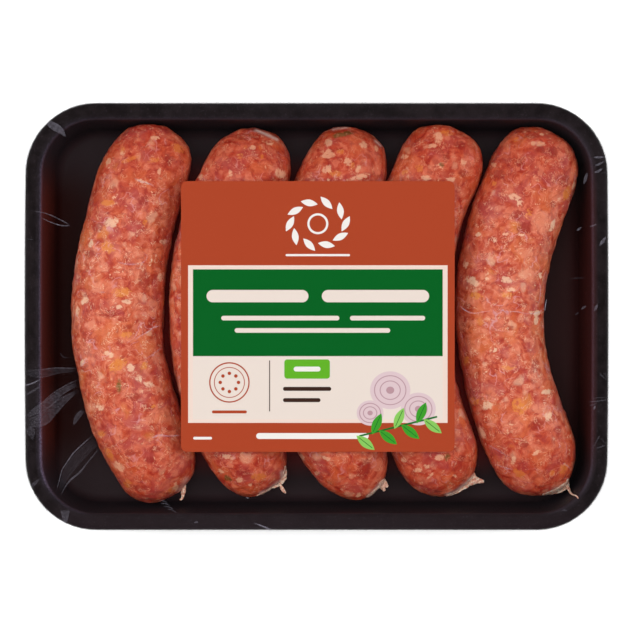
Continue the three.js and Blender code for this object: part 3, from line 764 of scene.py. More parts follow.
# Spots that stand out on the sausages seen from above: place, half length and half width in millimetres,
# and the turn in degrees where there is one
SPOTS = {
    "cream": [
        (-60.5, 67, 1.7, 0.8), (-72.8, 60.9, 0.9, 1.1), (-78.4, 58, 1.7, 0.9, 80),
        (-58.8, 54.3, 1.5, 0.6, 80), (-64.9, 50.4, 2.8, 0.6, -22), (-76.7, 35.2, 2.6, 1.7, 10),
        (-57.6, 28.1, 1.3, 0.9), (-84.7, 27.4, 1.5, 0.9, 80), (-75.9, 44.5, 0.8, 0.6),
        (-58.7, 14.9, 1.7, 1.1, 80), (-86.9, 5.9, 1.5, 1.3, 50), (-89.8, 2, 1.9, 0.8, 80),
        (-70.5, 5.4, 2.1, 0.8, -10), (-73.7, 3.4, 1.1, 0.9), (-77.3, -14.2, 1.9, 1.1, -20),
        (-69.5, -19.1, 1.7, 1.3, -45), (-88.1, -17.6, 1.3, 0.9, 80), (-66.4, -23.3, 1.5, 1.1, -40),
        (-63.1, -25.3, 2.3, 0.9, -18), (-81.4, -34.2, 1.5, 0.9, -15), (-74.2, -56.3, 2.3, 1.5, -40),
        (-53.1, -63.9, 2.1, 0.9, 80), (-17.5, 65.4, 1.5, 0.9), (-23.9, 63.4, 1.1, 0.9, 20),
        (-32.3, 53.7, 1.3, 0.8, -75), (-13.4, 53.7, 2.3, 1.5, -40), (-43.6, 52.6, 1.1, 1.1),
        (4.5, 65.4, 1.7, 1.3, 80), (4.3, 60.9, 2.8, 1.7, 5), (17.7, 64.6, 1.5, 1.3),
        (22.6, 63.4, 1.1, 0.9, 80), (11.7, 58, 1.7, 1.3, -60), (4.1, 55.1, 1.9, 1.5, 20),
        (15.6, 55.5, 1.7, 0.8, 75), (16.4, 52.3, 3.6, 0.9, 15), (45.7, 67.2, 1.9, 1.7, 80),
        (43.4, 64, 1.7, 0.8, 10), (33.1, 60.3, 1.5, 0.9), (55, 58, 1.5, 1.1), (46.1, 56.4, 1.7, 0.5, -40),
        (40.9, 51.9, 1.9, 0.9), (50.4, 51.4, 1.7, 0.8), (-33.3, -52.6, 3, 0.9, -10),
        (-36.1, -58.3, 1.1, 0.8, -30), (-29.1, -61.5, 1.3, 0.9), (-25, -63.4, 0.6, 0.6),
        (3.8, -53.2, 1.5, 0.9, -20), (0.2, -59.1, 0.9, 0.8), (15.9, -67.5, 1.1, 0.8, 30),
        (-5.3, -53.2, 1.5, 0.8, -50), (46, -53, 1.7, 1.1), (32.8, -54, 1.5, 0.8, -50),
        (38.3, -57.8, 1.9, 0.8), (41.4, -56.3, 1.1, 0.9), (42.9, -59.8, 1.7, 0.5, 45),
        (52, -60, 1.1, 0.5, -30), (82.9, 64.8, 3, 0.9, -3), (84.7, 68.5, 0.9, 0.6),
        (66.8, 57.2, 1.1, 0.9, 80), (76.1, 42.6, 1.3, 1.1, 80), (74.1, 44.7, 2.3, 1.1, -15),
        (88.6, 34.2, 2.3, 0.9, 75), (76.6, 30.6, 1.5, 0.5, -4), (70.7, 30.8, 1.1, 0.6),
        (66.8, 28.6, 0.9, 0.8), (60.7, 30.8, 0.9, 0.8), (97.1, 49.4, 1.9, 0.6, 70),
        (56.1, 19.6, 1.3, 0.9, 80), (58.8, 13.4, 2.8, 1.5, -38), (63.7, 14.2, 0.8, 0.6),
        (71, 13.7, 2.1, 1.1, -20), (72.7, 10, 1.7, 0.7), (82.7, 1.5, 2.8, 0.8),
        (82.5, -1.2, 2.1, 1.1, 80), (84, 15.2, 1.3, 0.8, 60), (66.9, -12.7, 1.1, 0.5, 45),
        (64, -33.4, 2.1, 1.5), (86.9, -37.5, 1.7, 1.3, 70), (62.5, -44.1, 2.4, 0.9, -62),
        (82.3, -51, 1.5, 0.8, 25), (73.9, -53.7, 1.7, 0.8, 80), (86.4, -28.3, 1.9, 0.9, 10),
    ],
    "yellow": [
        (-72.8, 62.6, 1.5, 0.9, 80), (-69.8, 58.9, 3.2, 0.9, 18), (-60.5, 58.7, 2.6, 0.9, 8),
        (-78.2, 42.6, 2.8, 1.1), (-64.2, 35, 1.1, 0.9, 80), (-78.1, 25.9, 2.6, 1.9, -30),
        (-72.6, 9, 3.2, 1.9, -10), (-71.2, -6.8, 2.3, 1.1), (-74.1, -18.1, 3.4, 2.3, 30),
        (-64.6, -18.6, 1.5, 1.1, 60), (-61.1, -33.7, 0.8, 0.8), (-78.1, -51.7, 2.6, 1.3, -58),
        (-71.2, -62.9, 1.7, 1.5), (-80.9, -44.1, 1.3, 1.1), (-54.5, -65.4, 1.9, 1.1, 70),
        (-28.7, 60.3, 1.1, 1.1), (-20.4, 59.8, 0.9, 0.6, 80), (13.4, 56.8, 1.3, 0.8, -70),
        (6.4, 53.8, 2.6, 1.3, -15), (9, 61.8, 1.3, 0.9), (48.8, 69.2, 2.4, 1.3, -10),
        (33.1, 54.3, 1.5, 1.1), (38.5, 55.5, 1.5, 1.3), (-21.8, -60.4, 2.6, 1.5), (75.1, 66.5, 1.1, 0.8),
        (94.2, 46.5, 2.6, 1.3, 68), (66.8, 49.9, 0.9, 0.8, 80), (79.3, 38.4, 1.7, 1.1, 80),
        (60, 7.8, 2.3, 1.3, -20), (71.3, 8.2, 2.6, 0.9), (56.6, -16.6, 1.7, 1.1, 80),
        (71.8, -19.1, 2.6, 0.8), (75.7, -33.6, 3, 2.1, -65), (59.7, -31.9, 1.5, 1.3),
        (76.2, -58.8, 2.3, 1.5, -30), (93, -57.3, 2.3, 1.5, 60), (88.4, -58.8, 1.1, 1.1),
        (-52.2, 63.3, 2.4, 1.5, -20),
    ],
    "pink": [
        (-63.7, 56, 1.1, 1.1), (-52.5, 47.9, 2.3, 0.9, 80), (-59.6, 43.3, 2.8, 1.1, -10),
        (-68.9, 43, 1.9, 1.3), (-82, 10.8, 2.3, 1.9), (-66.1, 7.8, 1.1, 0.9), (-61.4, 4.4, 2.1, 1.7, -50),
        (-75.6, -1.7, 1.1, 1.1), (-59.5, -15.7, 2.3, 1.7, -20), (-59.5, -27.3, 1.7, 0.9, -20),
        (-84.7, -34.2, 1.5, 1.5), (-63.6, -39, 2.6, 1.1, 15), (-75.3, -43.1, 2.3, 0.8, -15),
        (-66.6, -55.3, 2.3, 0.8, -10), (-53.4, -58.8, 1.5, 1.1), (-48.6, -53.2, 1.3, 0.9),
        (-58, -52.2, 0.9, 0.9), (-40.2, 58.1, 1.5, 0.9), (-16.4, 55.6, 1.7, 0.7, -35),
        (-3, 61.4, 2.8, 0.9, 68), (10.2, 63.8, 2.3, 0.6, -42), (23, 55.1, 1.7, 1.1, 80),
        (51.3, 59.7, 1.5, 0.9, 80), (-32.5, -55.7, 1.3, 0.9), (-16.7, -60.8, 1.5, 1.3),
        (23, -55.9, 2.3, 2.1), (18.7, -66.3, 1.1, 0.9), (70.7, 66, 1.7, 1.7), (83.9, 54.8, 1.9, 1.1, 80),
        (92.7, 64.1, 1.5, 1.1), (96.1, 53.8, 2.6, 0.9, 78), (84.4, 35.2, 3.8, 3.2, -30),
        (90.3, 44.5, 2.3, 1.5), (79.6, 15.7, 3.6, 1.5), (76.7, -0.5, 1.5, 1.1, 70),
        (54.4, -1.7, 1.5, 0.8, 80), (59, -2.4, 1.3, 1.1), (63.2, -5.4, 1.7, 0.8, -45),
        (72.7, -6.1, 1.1, 0.9), (79.1, -8.8, 1.3, 0.9), (84.5, -16.6, 3.4, 0.6, -82),
        (85.2, -35.6, 3.2, 2.4, -40), (65.3, -40.5, 1.1, 0.9), (79.8, -26.3, 2.3, 1.1),
        (82.3, -34.4, 1.5, 1.1), (49.2, 67.1, 0.9, 0.9), (78.1, 23.8, 3, 1.7), (-84.5, -3.3, 1.9, 1.5),
        (-80, 18.2, 2.3, 1.5),
    ],
    "deep": [
        (-64.2, 71.2, 4.9, 1.1, -2), (-55.2, 59.2, 1.7, 0.9), (-82.1, 33.3, 1.7, 1.3),
        (-64.9, 43.5, 1.7, 1.3), (-77.6, 1, 3, 0.9, 5), (-84.9, 23.5, 1.5, 1.1), (-61.5, -1.4, 1.3, 0.9),
        (-70.3, -3.7, 1.1, 0.8), (-62.1, -53.7, 1.5, 1.1), (-69.7, -51.2, 1.7, 1.1),
        (-60.5, -49.7, 1.5, 1.1), (-66.1, -64.4, 2.3, 1.1), (-64.5, 13.3, 1.5, 3.4),
        (-68.3, -30, 1.9, 1.1), (-26.5, 67.8, 4.1, 1.1), (10.7, 69.5, 4.5, 0.9), (53.7, 64.6, 1.7, 1.1),
        (48.8, 59.3, 1.5, 1.1, 80), (55, 53.9, 1.5, 1.1), (-27.2, -58.7, 2.3, 1.3),
        (17.9, -57.5, 3.4, 2.3, 60), (54.6, -53.2, 1.3, 1.1), (81, 68.5, 2.8, 1.3),
        (76.1, 57.7, 1.7, 1.1), (88.8, 62.1, 1.5, 1.5), (92.2, 51.4, 2.6, 1.7), (68.3, 53.3, 2.1, 1.5),
        (77.6, 32.8, 2.3, 1.9), (88.8, 42.1, 1.1, 1.1), (75.4, 38.1, 1.7, 1.3, 60),
        (82.3, -40.5, 2.6, 1.7, 20), (77.7, -47.6, 1.3, 1.1), (82, -18.6, 1.9, 1.1, 80),
        (72.5, -4.4, 1.1, 0.8), (57.1, 3.4, 1.7, 1.1, -30), (84.1, 62.6, 1.5, 1.1),
    ],
    "herb": [
        (-73.9, -26, 2.1, 0.8, 88), (9.8, 68.6, 3.2, 0.8, 12), (-33.5, -61, 1.3, 0.8, -30),
        (49.1, -52.8, 1.1, 0.8, 80), (47, 56.9, 0.9, 0.6, -40),
    ],
}


def near_line(points, start, end, reach):
    """How near each point is to a line in plan, from 0 to 1."""
    start, end = np.array(start) * MM, np.array(end) * MM
    run = end - start
    share = np.clip((points[:, :2] - start) @ run / (run @ run), 0, 1)
    away = np.linalg.norm(points[:, :2] - start - share[:, None] * run, axis=1)
    return np.exp(-((away / (reach * MM)) ** 2))


def near_spot(points, x, y, long, short, turn=0):
    """How near each point of the upper side is to a spot's middle, from 0 to 1."""
    angle = math.radians(turn)
    away_x, away_y = points[:, 0] / MM - x, points[:, 1] / MM - y
    along = (away_x * math.cos(angle) + away_y * math.sin(angle)) / long
    across = (away_y * math.cos(angle) - away_x * math.sin(angle)) / short
    return np.exp(-0.7 * (along**2 + across**2)) * (points[:, 2] > 16 * MM)


# The scale each way that gives back what the smoothing takes off a sausage
GIVEN_BACK = (1.006, 1.004, 1.006)


def build_sausage(number, meat):
    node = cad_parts[f"sausage_{number}"]
    piece = bpy.data.objects.new(f"link_{number}", node.data.copy())
    bpy.context.scene.collection.objects.link(piece)
    choose(piece)
    edit_mode()
    bpy.ops.mesh.select_all(action="SELECT")
    bpy.ops.mesh.remove_doubles(threshold=0.001 * MM)
    object_mode()
    apply_modifier(piece, "REMESH", mode="VOXEL", voxel_size=1.1 * MM)
    apply_modifier(piece, "SMOOTH", factor=0.5, iterations=14)
    apply_modifier(piece, "REMESH", mode="VOXEL", voxel_size=0.72 * MM)
    apply_modifier(piece, "SMOOTH", factor=0.5, iterations=4)
    points = points_of(piece)
    middle = (points.max(axis=0) + points.min(axis=0)) / 2
    move_points(piece, middle + (points - middle) * GIVEN_BACK)
    settings = {"texture_coords": "LOCAL", "mid_level": 0.5}
    apply_modifier(piece, "DISPLACE", texture=BULGES, strength=0.9 * MM, **settings)
    apply_modifier(piece, "DISPLACE", texture=GROUND, strength=0.55 * MM, **settings)
    points = points_of(piece)
    points[:, 2] = np.maximum(points[:, 2], FLOOR_HEIGHT + 0.2 * MM)
    move_points(piece, points)
    # Pale casing towards the tied ends, with a painted highlight along a top end
    pale = [near_line(points, start, end, reach) * share for start, end, reach, share in CASING_BANDS_AND_HIGHLIGHTS[number]]
    paint(piece, "casing", np.max(pale, axis=0))
    for name, spots in SPOTS.items():
        paint(piece, name, np.max([near_spot(points, *spot) for spot in spots], axis=0))
    return finish_piece(piece, meat, f"sausage_{number}", smooth=80)


# The film


def height_map(pieces, cell):
    """The highest point of the pieces over each square of a grid of the pack's plan."""
    columns = int(2 * HALF_LENGTH / cell) + 1
    lines = int(2 * HALF_WIDTH / cell) + 1
    heights = np.zeros((lines, columns))
    for piece in pieces:
        points = points_of(piece)
        column = ((points[:, 0] + HALF_LENGTH) / cell).astype(int)
        line = ((points[:, 1] + HALF_WIDTH) / cell).astype(int)
        np.maximum.at(heights, (line, column), points[:, 2])
    return heights


def widened(heights):
    """Each square takes the highest of itself and its neighbours."""
    tall = np.pad(heights, 1)
    lines, columns = heights.shape
    return np.max([tall[j : j + lines, i : i + columns] for j in range(3) for i in range(3)], axis=0)


def look_up(heights, cell, x, y):
    column = np.clip(((x + HALF_LENGTH) / cell).astype(int), 0, heights.shape[1] - 1)
    line = np.clip(((y + HALF_WIDTH) / cell).astype(int), 0, heights.shape[0] - 1)
    return heights[line, column]


def label_height(x, y):
    """The label lies nearly flat over the sausages' tops, and gives a little between them."""
    wave = 0.16 * np.cos(x / MM * 2 * math.pi / 36.0) + 0.1 * np.sin(y / MM / 17.0 + 0.8)
    return LABEL_LOW.z + wave * MM


def near_label(x, y, margin):
    beside = (x > LABEL_LOW.x - margin) & (x < LABEL_HIGH.x + margin)
    return beside & (y > LABEL_LOW.y - margin) & (y < LABEL_HIGH.y + margin)


FILM_COLUMNS = 210
FILM_ROWS = 176
SAG_STEPS = 2600

# How far the film keeps off the links and the label, and slips of film off the film
FILM_GAP = 0.12 * MM
SLIP_GAP = 0.05 * MM

# The film over the tray's rim: its height, the width that it lies on, and the drop at its edge
FILM_ON_RIM = RIM_TOP + 0.1 * MM
RIM_WIDTH = 6.4 * MM
EDGE_DROP = 0.3 * MM

# The film lies flat this far round the label, and its lowest points this far above the ground
LABEL_MARGIN = 1.5 * MM
FILM_LOWEST = 0.02 * MM

# How far in the film goes down to the base, in millimetres from the outline
HEEL = 9.3

# Ridges in the stretched film, in millimetres: from, to, width and height
CREASES = [
    ((-108, 39), (-93, 34), 1.2, 0.3),
    ((-108, -20), (-90, -20), 2.2, 0.4),
    ((-108, -36), (-90, -25), 2.6, 0.6),
    ((-108, -40), (-90, -28), 2.0, 0.4),
    ((-98, -60), (-84, -45), 1.2, 0.4),
    ((-96, -66), (-81, -49), 1.4, 0.4),
    ((-103, 74), (-94, 67), 2.2, 0.4),
    ((-57, -69), (-51, -76), 1.6, 0.3),
    ((-24, -78), (-17, -80), 1.0, 0.3),
    ((98, 56), (107, 60), 1.2, 0.3),
    ((103, 24), (109, 29), 0.8, 0.3),
    ((101, -62), (108, -58), 0.9, 0.3),
]

# Slips of film that lie double, and thin lines of painted glints and reflections on the film, in millimetres:
# points along each with its width there, and how milky its middle and its edges are
FOLDS_AND_GLINTS = [
    ([(-101.6, 73.3, 1.13), (-99.5, 72, 2.63), (-96.5, 70.1, 2.45), (-94.1, 67.5, 0.23)], 0.075, 0.1),
    ([(-106.5, 39.7, 0.15), (-101.3, 38.6, 0.3), (-96.5, 36.5, 0.34), (-92.6, 34.4, 0.38)], 0.08, 0.08),
    ([(-103.4, 37.1, 0.15), (-99.5, 35.3, 0.3), (-95.3, 34.1, 0.38), (-92.5, 34.1, 0.45)], 0.115, 0.115),
    ([(-109.4, 29.3, 0.19), (-106.1, 28.8, 0.19)], 0.05, 0.05),
    ([(-96.2, -13.4, 0.19), (-95, -15.1, 0.56), (-92.9, -15.5, 0.19)], 0.02, 0.02),
    ([
        (-109.9, -21, 1.88), (-103.7, -21.4, 3.2), (-96.5, -20.4, 1.88), (-90.1, -20.1, 1.13),
    ], 0.016, 0.03),
    ([(-103.7, -19.9, 0.26), (-98, -19.3, 0.34), (-90.1, -19.4, 0.34)], 0.05, 0.05),
    ([(-110, -26, 0.34), (-107.1, -25.2, 0.49), (-103.7, -23.7, 0.23)], 0.13, 0.13),
    ([(-109.7, -29.8, 0.38), (-106.7, -28.1, 0.83), (-103.7, -26.2, 0.23)], 0.035, 0.05),
    ([
        (-109.5, -37.9, 0.75), (-105.6, -35.6, 2.63), (-100.3, -32.2, 3.01), (-95.4, -28.3, 2.11),
        (-89.8, -25.3, 1.51),
    ], 0.035, 0.055),
    ([
        (-102.9, -32.2, 0.19), (-99.5, -29.3, 0.34), (-94.6, -26.2, 0.38), (-89.7, -23.8, 0.3),
    ], 0.06, 0.06),
    ([
        (-109.3, -39.8, 2.26), (-105.6, -39.6, 4.14), (-102.5, -38.5, 4.7), (-99.5, -35.8, 3.95),
        (-95.4, -31.9, 3.01), (-89.8, -27.9, 0.94),
    ], 0.03, 0.045),
    ([(-108.9, -41.7, 1.88), (-107.4, -43.2, 3.01), (-106.7, -46.5, 0.23)], 0.025, 0.045),
    ([(-91.1, -40.7, 0.45), (-89.8, -37.9, 1.88), (-87.4, -35.1, 1.32)], 0.035, 0.05),
    ([
        (-97.6, -65.2, 0.19), (-96.4, -60.8, 0.3), (-95.3, -57.2, 0.34), (-93.9, -55.1, 0.38),
        (-91.3, -51.4, 0.49), (-87.9, -48.1, 0.41), (-84.3, -44.9, 0.34),
    ], 0.085, 0.085),
    ([
        (-96.5, -65.7, 0.94), (-94.3, -60.1, 2.63), (-91.6, -55.6, 3.76), (-87.5, -51.1, 3.76),
        (-82.6, -46.5, 3.01),
    ], 0.012, 0.018),
    ([
        (-96, -67.1, 0.19), (-94.5, -64.2, 0.38), (-92.6, -61.6, 0.6), (-89.1, -58.7, 0.64),
        (-85.8, -54.7, 0.34), (-83.7, -52.2, 0.26), (-81.5, -49.6, 0.3),
    ], 0.06, 0.06),
    ([(-107.8, -64.6, 0.38), (-106.3, -63.1, 1.32), (-104.1, -61, 0.38)], 0.035, 0.05),
    ([(-94.5, -72.7, 3.57), (-94.5, -75.1, 2.45), (-94.6, -78.5, 1.13)], 0.05, 0.07),
    ([(-58.9, -68.9, 0.15), (-57.4, -69.1, 0.34), (-55.9, -69.7, 0.15)], 0.06, 0.06),
    ([(-58.5, -70.1, 0.15), (-56.6, -70.1, 0.34), (-54.8, -70.9, 0.15)], 0.07, 0.07),
    ([(-57.4, -71.2, 0.15), (-55.5, -71.3, 0.34), (-53.6, -72.2, 0.15)], 0.06, 0.06),
    ([(-55.9, -72.2, 0.15), (-54.4, -72.4, 0.34), (-52.5, -73.6, 0.19)], 0.06, 0.06),
    ([(-52.9, -73.1, 0.15), (-49.1, -76.1, 0.19), (-44.6, -79.3, 0.15)], 0.02, 0.02),
    ([(-45.9, -77.3, 0.23), (-45.1, -77.2, 0.68), (-44.4, -77.3, 0.23)], 0.09, 0.09),
    ([(-26.3, -67.7, 0.19), (-25.9, -67.9, 0.45), (-25.3, -68.1, 0.19)], 0.12, 0.12),
    ([(-23.6, -77.4, 0.15), (-20.5, -78.6, 0.49), (-17.1, -80.1, 0.6)], 0.17, 0.17),
    ([(104, 59.8, 0.23), (105.9, 59.8, 0.83), (108.2, 60, 0.38)], 0.09, 0.12),
    ([(104.4, 56.7, 0.23), (105.9, 57.1, 0.75), (108.2, 58.4, 0.3)], 0.08, 0.1),
    ([(104.2, 54.1, 0.3), (105.7, 54.5, 0.9), (107.6, 55.8, 0.23)], 0.09, 0.11),
    ([(106.7, 53.7, 0.15), (108.2, 54.1, 0.26), (109.7, 54.5, 0.15)], 0.04, 0.04),
    ([(100.3, 49.6, 0.3), (100.9, 51.7, 1.13), (101.6, 53.9, 0.53)], 0.075, 0.1),
    ([(97.6, 32.2, 0.23), (98.6, 32.9, 0.68), (99.4, 33.5, 0.3)], 0.1, 0.12),
    ([(102.5, 33.7, 0.19), (103.9, 34.1, 0.41), (105.3, 34.7, 0.19)], 0.09, 0.09),
    ([(106.2, 26.5, 0.3), (107.6, 28.3, 1.13), (108.9, 30.1, 0.3)], 0.1, 0.13),
    ([(99.3, 2.6, 0.23), (100.3, 3.4, 0.75), (101.3, 4, 0.3)], 0.05, 0.07),
    ([(104.3, 1.8, 0.3), (105, 3.3, 0.98), (105.6, 4.6, 0.34)], 0.07, 0.1),
    ([(96.9, 0.6, 0.15), (97.8, 1.1, 0.45), (98.4, 1.6, 0.19)], 0.04, 0.05),
    ([(93.9, 14, 0.19), (97.6, 14.4, 0.3), (101, 14.5, 0.19)], 0.02, 0.02),
    ([(106.1, -20.8, 0.15), (107.4, -22.5, 0.38), (109.2, -23.8, 0.15)], 0.04, 0.04),
    ([(107.7, -21.2, 0.15), (108.6, -21.9, 0.34), (109.3, -23.4, 0.15)], 0.04, 0.04),
    ([(102, -32.1, 0.15), (105.6, -31.8, 0.34), (109.7, -31.3, 0.19)], 0.06, 0.06),
    ([(103.1, -30.8, 0.15), (105.9, -30.5, 0.26), (109.3, -30.5, 0.15)], 0.04, 0.04),
    ([(102.4, -33.4, 0.19), (103.8, -33.2, 0.34), (105.2, -32.6, 0.19)], 0.07, 0.07),
    ([(104.1, -35, 0.23), (104.4, -34.2, 0.75), (104.7, -33.5, 0.23)], 0.1, 0.1),
    ([(103.9, -49.3, 0.15), (105.4, -46.5, 0.34), (106.5, -44.7, 0.15)], 0.04, 0.04),
    ([(104.8, -49.4, 0.19), (106.7, -49.1, 0.45), (108.7, -48.3, 0.19)], 0.045, 0.045),
    ([(106.9, -45.6, 0.15), (107.8, -46.9, 0.3), (108.9, -47.9, 0.15)], 0.03, 0.03),
    ([(91.9, -73.1, 0.19), (93.1, -72.8, 0.6), (94.3, -73, 0.19)], 0.04, 0.05),
    ([(-61.9, -45.6, 0.23), (-58.9, -44.4, 0.83), (-55.9, -44.6, 0.38), (-51, -44.4, 0.19)], 0.16, 0.3),
    ([
        (-75.1, 20.8, 0.23), (-72.1, 19.8, 0.49), (-67.9, 19.5, 0.45), (-64.7, 20.3, 0.34),
        (-63.2, 22.1, 0.3), (-65.3, 24.6, 0.19),
    ], 0.14, 0.14),
    ([
        (-67.8, -8.5, 0.6), (-66, -7.4, 0.26), (-62.8, -5.6, 0.3), (-61.1, -4.3, 0.34),
        (-58.2, -3.3, 0.19),
    ], 0.22, 0.22),
    ([(-64.9, -16.6, 0.19), (-61.5, -14.4, 0.3), (-57.5, -11.3, 0.19)], 0.12, 0.12),
    ([(-81.5, 9, 0.15), (-80, 9.1, 0.3), (-78.5, 9, 0.15)], 0.22, 0.22),
    ([(-68.5, 52, 0.23), (-65.7, 50.4, 0.6), (-63, 49.8, 0.53), (-60.4, 48.5, 0.23)], 0.18, 0.18),
    ([
        (53.5, 4.1, 0.3), (55.1, 2.6, 0.38), (59, 1.2, 0.38), (61.9, 1.7, 0.26), (65.3, 2, 0.15),
    ], 0.18, 0.18),
    ([
        (66.8, 1.8, 0.19), (68.9, 2.5, 0.41), (70.9, 1.8, 0.23), (74.3, 1.9, 0.38), (78.8, 1.1, 0.19),
        (83, 1.5, 0.45), (85.2, 3.1, 0.19),
    ], 0.16, 0.16),
    ([(83.4, 13.3, 0.23), (83.9, 9.9, 0.34), (83.4, 6.1, 0.3), (82.1, 3.1, 0.19)], 0.13, 0.13),
    ([(64, -47.8, 0.19), (67.9, -50.1, 0.3), (72.6, -52.8, 0.19)], 0.1, 0.1),
    ([(66.9, -55.2, 0.19), (70.2, -56.5, 0.34), (73.8, -57.4, 0.19)], 0.12, 0.12),
    ([(92, -55, 0.15), (93.7, -55.8, 0.3), (95.3, -57.2, 0.15)], 0.14, 0.14),
    ([(86.2, 6.5, 0.19), (85.7, 3.9, 0.26), (85.5, 2, 0.19)], 0.3, 0.3),
]


def crease(x, y, start, end, width):
    """How near a point is to a crease, from 0 to 1, fading towards the crease's ends."""
    start, end = np.array(start) * MM, np.array(end) * MM
    run = end - start
    length = np.hypot(*run)
    along = ((x - start[0]) * run[0] + (y - start[1]) * run[1]) / length**2
    across = ((x - start[0]) * run[1] - (y - start[1]) * run[0]) / length / (width * MM)
    fade = np.clip(1 - (2 * along - 1) ** 4, 0, 1)
    return np.exp(-(across**2)) * fade


def noise_field(x, y, size_x, size_y, seed):
    """Smooth noise from -1 to 1 at each point, in strokes of the given size in millimetres."""
    u = np.ravel(x) / MM / size_x
    v = np.ravel(y) / MM / size_y
    values = [noise.noise(Vector((a, b, seed))) for a, b in zip(u, v)]
    return np.array(values).reshape(np.shape(x))


def spread_out(grid):
    """Rows of the grid run from side to side of the outline, evenly along its edge."""
    across, upwards = grid[:, 0], grid[:, 1]
    bend = CORNER_RADIUS * math.pi / 2
    run = np.abs(upwards) * (CORE_Y + bend)
    angle = np.clip((run - CORE_Y) / CORNER_RADIUS, 0, math.pi / 2)
    y = np.sign(upwards) * (np.minimum(run, CORE_Y) + CORNER_RADIUS * np.sin(angle))
    return across * (CORE_X + CORNER_RADIUS * np.cos(angle)), y


def resting_height(filling, x, y):
    """The lowest that the film can lie: over the filling and the rim, and just under the label."""
    cell = 0.9 * MM
    heights = widened(widened(height_map(filling, cell)))
    rests = look_up(heights, cell, x, y) + FILM_GAP
    rests = np.where(depth_inside(x, y) < RIM_WIDTH, np.maximum(rests, FILM_ON_RIM), rests)
    return np.where(near_label(x, y, LABEL_MARGIN), label_height(x, y) - FILM_GAP, rests)


def sagged(support):
    """The heights of a sheet held at its edges, which sags freely between what carries it."""
    sheet = np.maximum(support, FILM_ON_RIM)
    for _ in range(SAG_STEPS):
        level = (sheet[1:-1, :-2] + sheet[1:-1, 2:] + sheet[:-2, 1:-1] + sheet[2:, 1:-1]) / 4
        sheet[1:-1, 1:-1] = np.maximum(support[1:-1, 1:-1], level)
    return sheet


def add_skirt(piece, first):
    """Extrudes the film's edge ring by ring: over the rim, down to the base and folded under it."""
    choose(piece)
    edit_mode()
    bpy.ops.mesh.select_mode(type="EDGE")
    bpy.ops.mesh.select_all(action="DESELECT")
    bpy.ops.mesh.select_non_manifold(extend=False)
    object_mode()
    count = sum(vertex.select for vertex in piece.data.vertices)
    rings = skirt_rings()
    for _ in rings:
        edit_mode()
        bpy.ops.mesh.extrude_region_move(TRANSFORM_OT_translate={"value": (0, 0, -0.4 * MM)})
        object_mode()
    place_skirt(piece, first, count, rings)


def build_film(film, filling):
    piece, grid = flat_grid("stretch_film", FILM_COLUMNS, FILM_ROWS)
    x, y = spread_out(grid)
    rests = resting_height(filling, x, y)
    order = np.lexsort((grid[:, 0], grid[:, 1])).reshape(FILM_ROWS + 1, FILM_COLUMNS + 1)
    z = np.empty(len(grid))
    z[order] = sagged(rests[order])
    free = np.clip((z - rests) / (0.8 * MM), 0, 1)

    # Ridges and ripples, which fade out towards the edge and the label
    depth = depth_inside(x, y)
    labelled = near_label(x, y, LABEL_MARGIN)
    for start, end, width, height in CREASES:
        z = z + crease(x, y, start, end, width) * height * MM * rising(depth, 0, 1.5 * MM)
    ripple = noise_field(x, y, 16.0, 2.6, 3.1) + 0.5 * noise_field(x, y, 3.0, 9.0, 8.4)
    slack = rising(depth, 0, 8 * MM) * np.where(near_label(x, y, 4 * MM), 0.0, 1.0)
    z = z + 0.05 * MM * ripple * slack
    z = np.where(labelled, rests, np.maximum(z, rests))
    z = np.where(depth < EDGE_DROP, FILM_ON_RIM - EDGE_DROP, z)
    move_points(piece, np.stack([x, y, z], axis=1))
    contact = np.where(labelled, 0.0, (1 - free) * rising(depth, 0, 9 * MM))

    add_skirt(piece, len(grid))
    points = points_of(piece)
    points[:, 0] = bow(points[:, 0], points[:, 1])
    points[:, 2] = np.maximum(points[:, 2], FILM_LOWEST)
    move_points(piece, points)
    skirt = points[len(grid) :]
    paint(piece, "haze_and_glint", np.concatenate([np.zeros(len(grid)), skirt_haze_and_glint(skirt)]))
    paint(piece, "contact", np.concatenate([contact, np.full(len(skirt), 0.25)]))
    face_outwards(piece)
    return finish_piece(piece, film, "film", smooth=60)


def along_route(route, shares):
    """A smooth run through a route's points: the place and width at each share of its length."""
    route = np.array(route)
    steps = np.hypot(*np.diff(route[:, :2], axis=0).T)
    stops = np.concatenate([[0], np.cumsum(steps)]) / steps.sum()
    slopes = np.gradient(route, stops, axis=0)
    index = np.clip(np.searchsorted(stops, shares, side="right") - 1, 0, len(route) - 2)
    span = (stops[index + 1] - stops[index])[:, None]
    t = ((shares - stops[index])[:, None]) / span
    start, end = route[index], route[index + 1]
    leave, arrive = slopes[index] * span, slopes[index + 1] * span
    return (
        (2 * t**3 - 3 * t**2 + 1) * start + (t**3 - 2 * t**2 + t) * leave
        + (3 * t**2 - 2 * t**3) * end + (t**3 - t**2) * arrive
    )


def beside_route(route, share, reach, step):
    """Points beside a route at each share of its length, at that reach in millimetres to its left."""
    run = along_route(route, share)
    ahead = along_route(route, np.minimum(share + step, 1)) - along_route(route, np.maximum(share - step, 0))
    ahead /= np.hypot(ahead[:, 0], ahead[:, 1])[:, None]
    return (run[:, 0] - ahead[:, 1] * reach) * MM, (run[:, 1] + ahead[:, 0] * reach) * MM


def height_over(piece, x, y, gap, beside):
    """The height at a gap over the piece at each point, and another height beside the piece."""
    heights = []
    for a, b in zip(x, y):
        hit, place, _, _ = piece.ray_cast(Vector((a, b, 0.1)), Vector((0, 0, -1)))
        heights.append(place.z + gap if hit else beside)
    return np.array(heights)


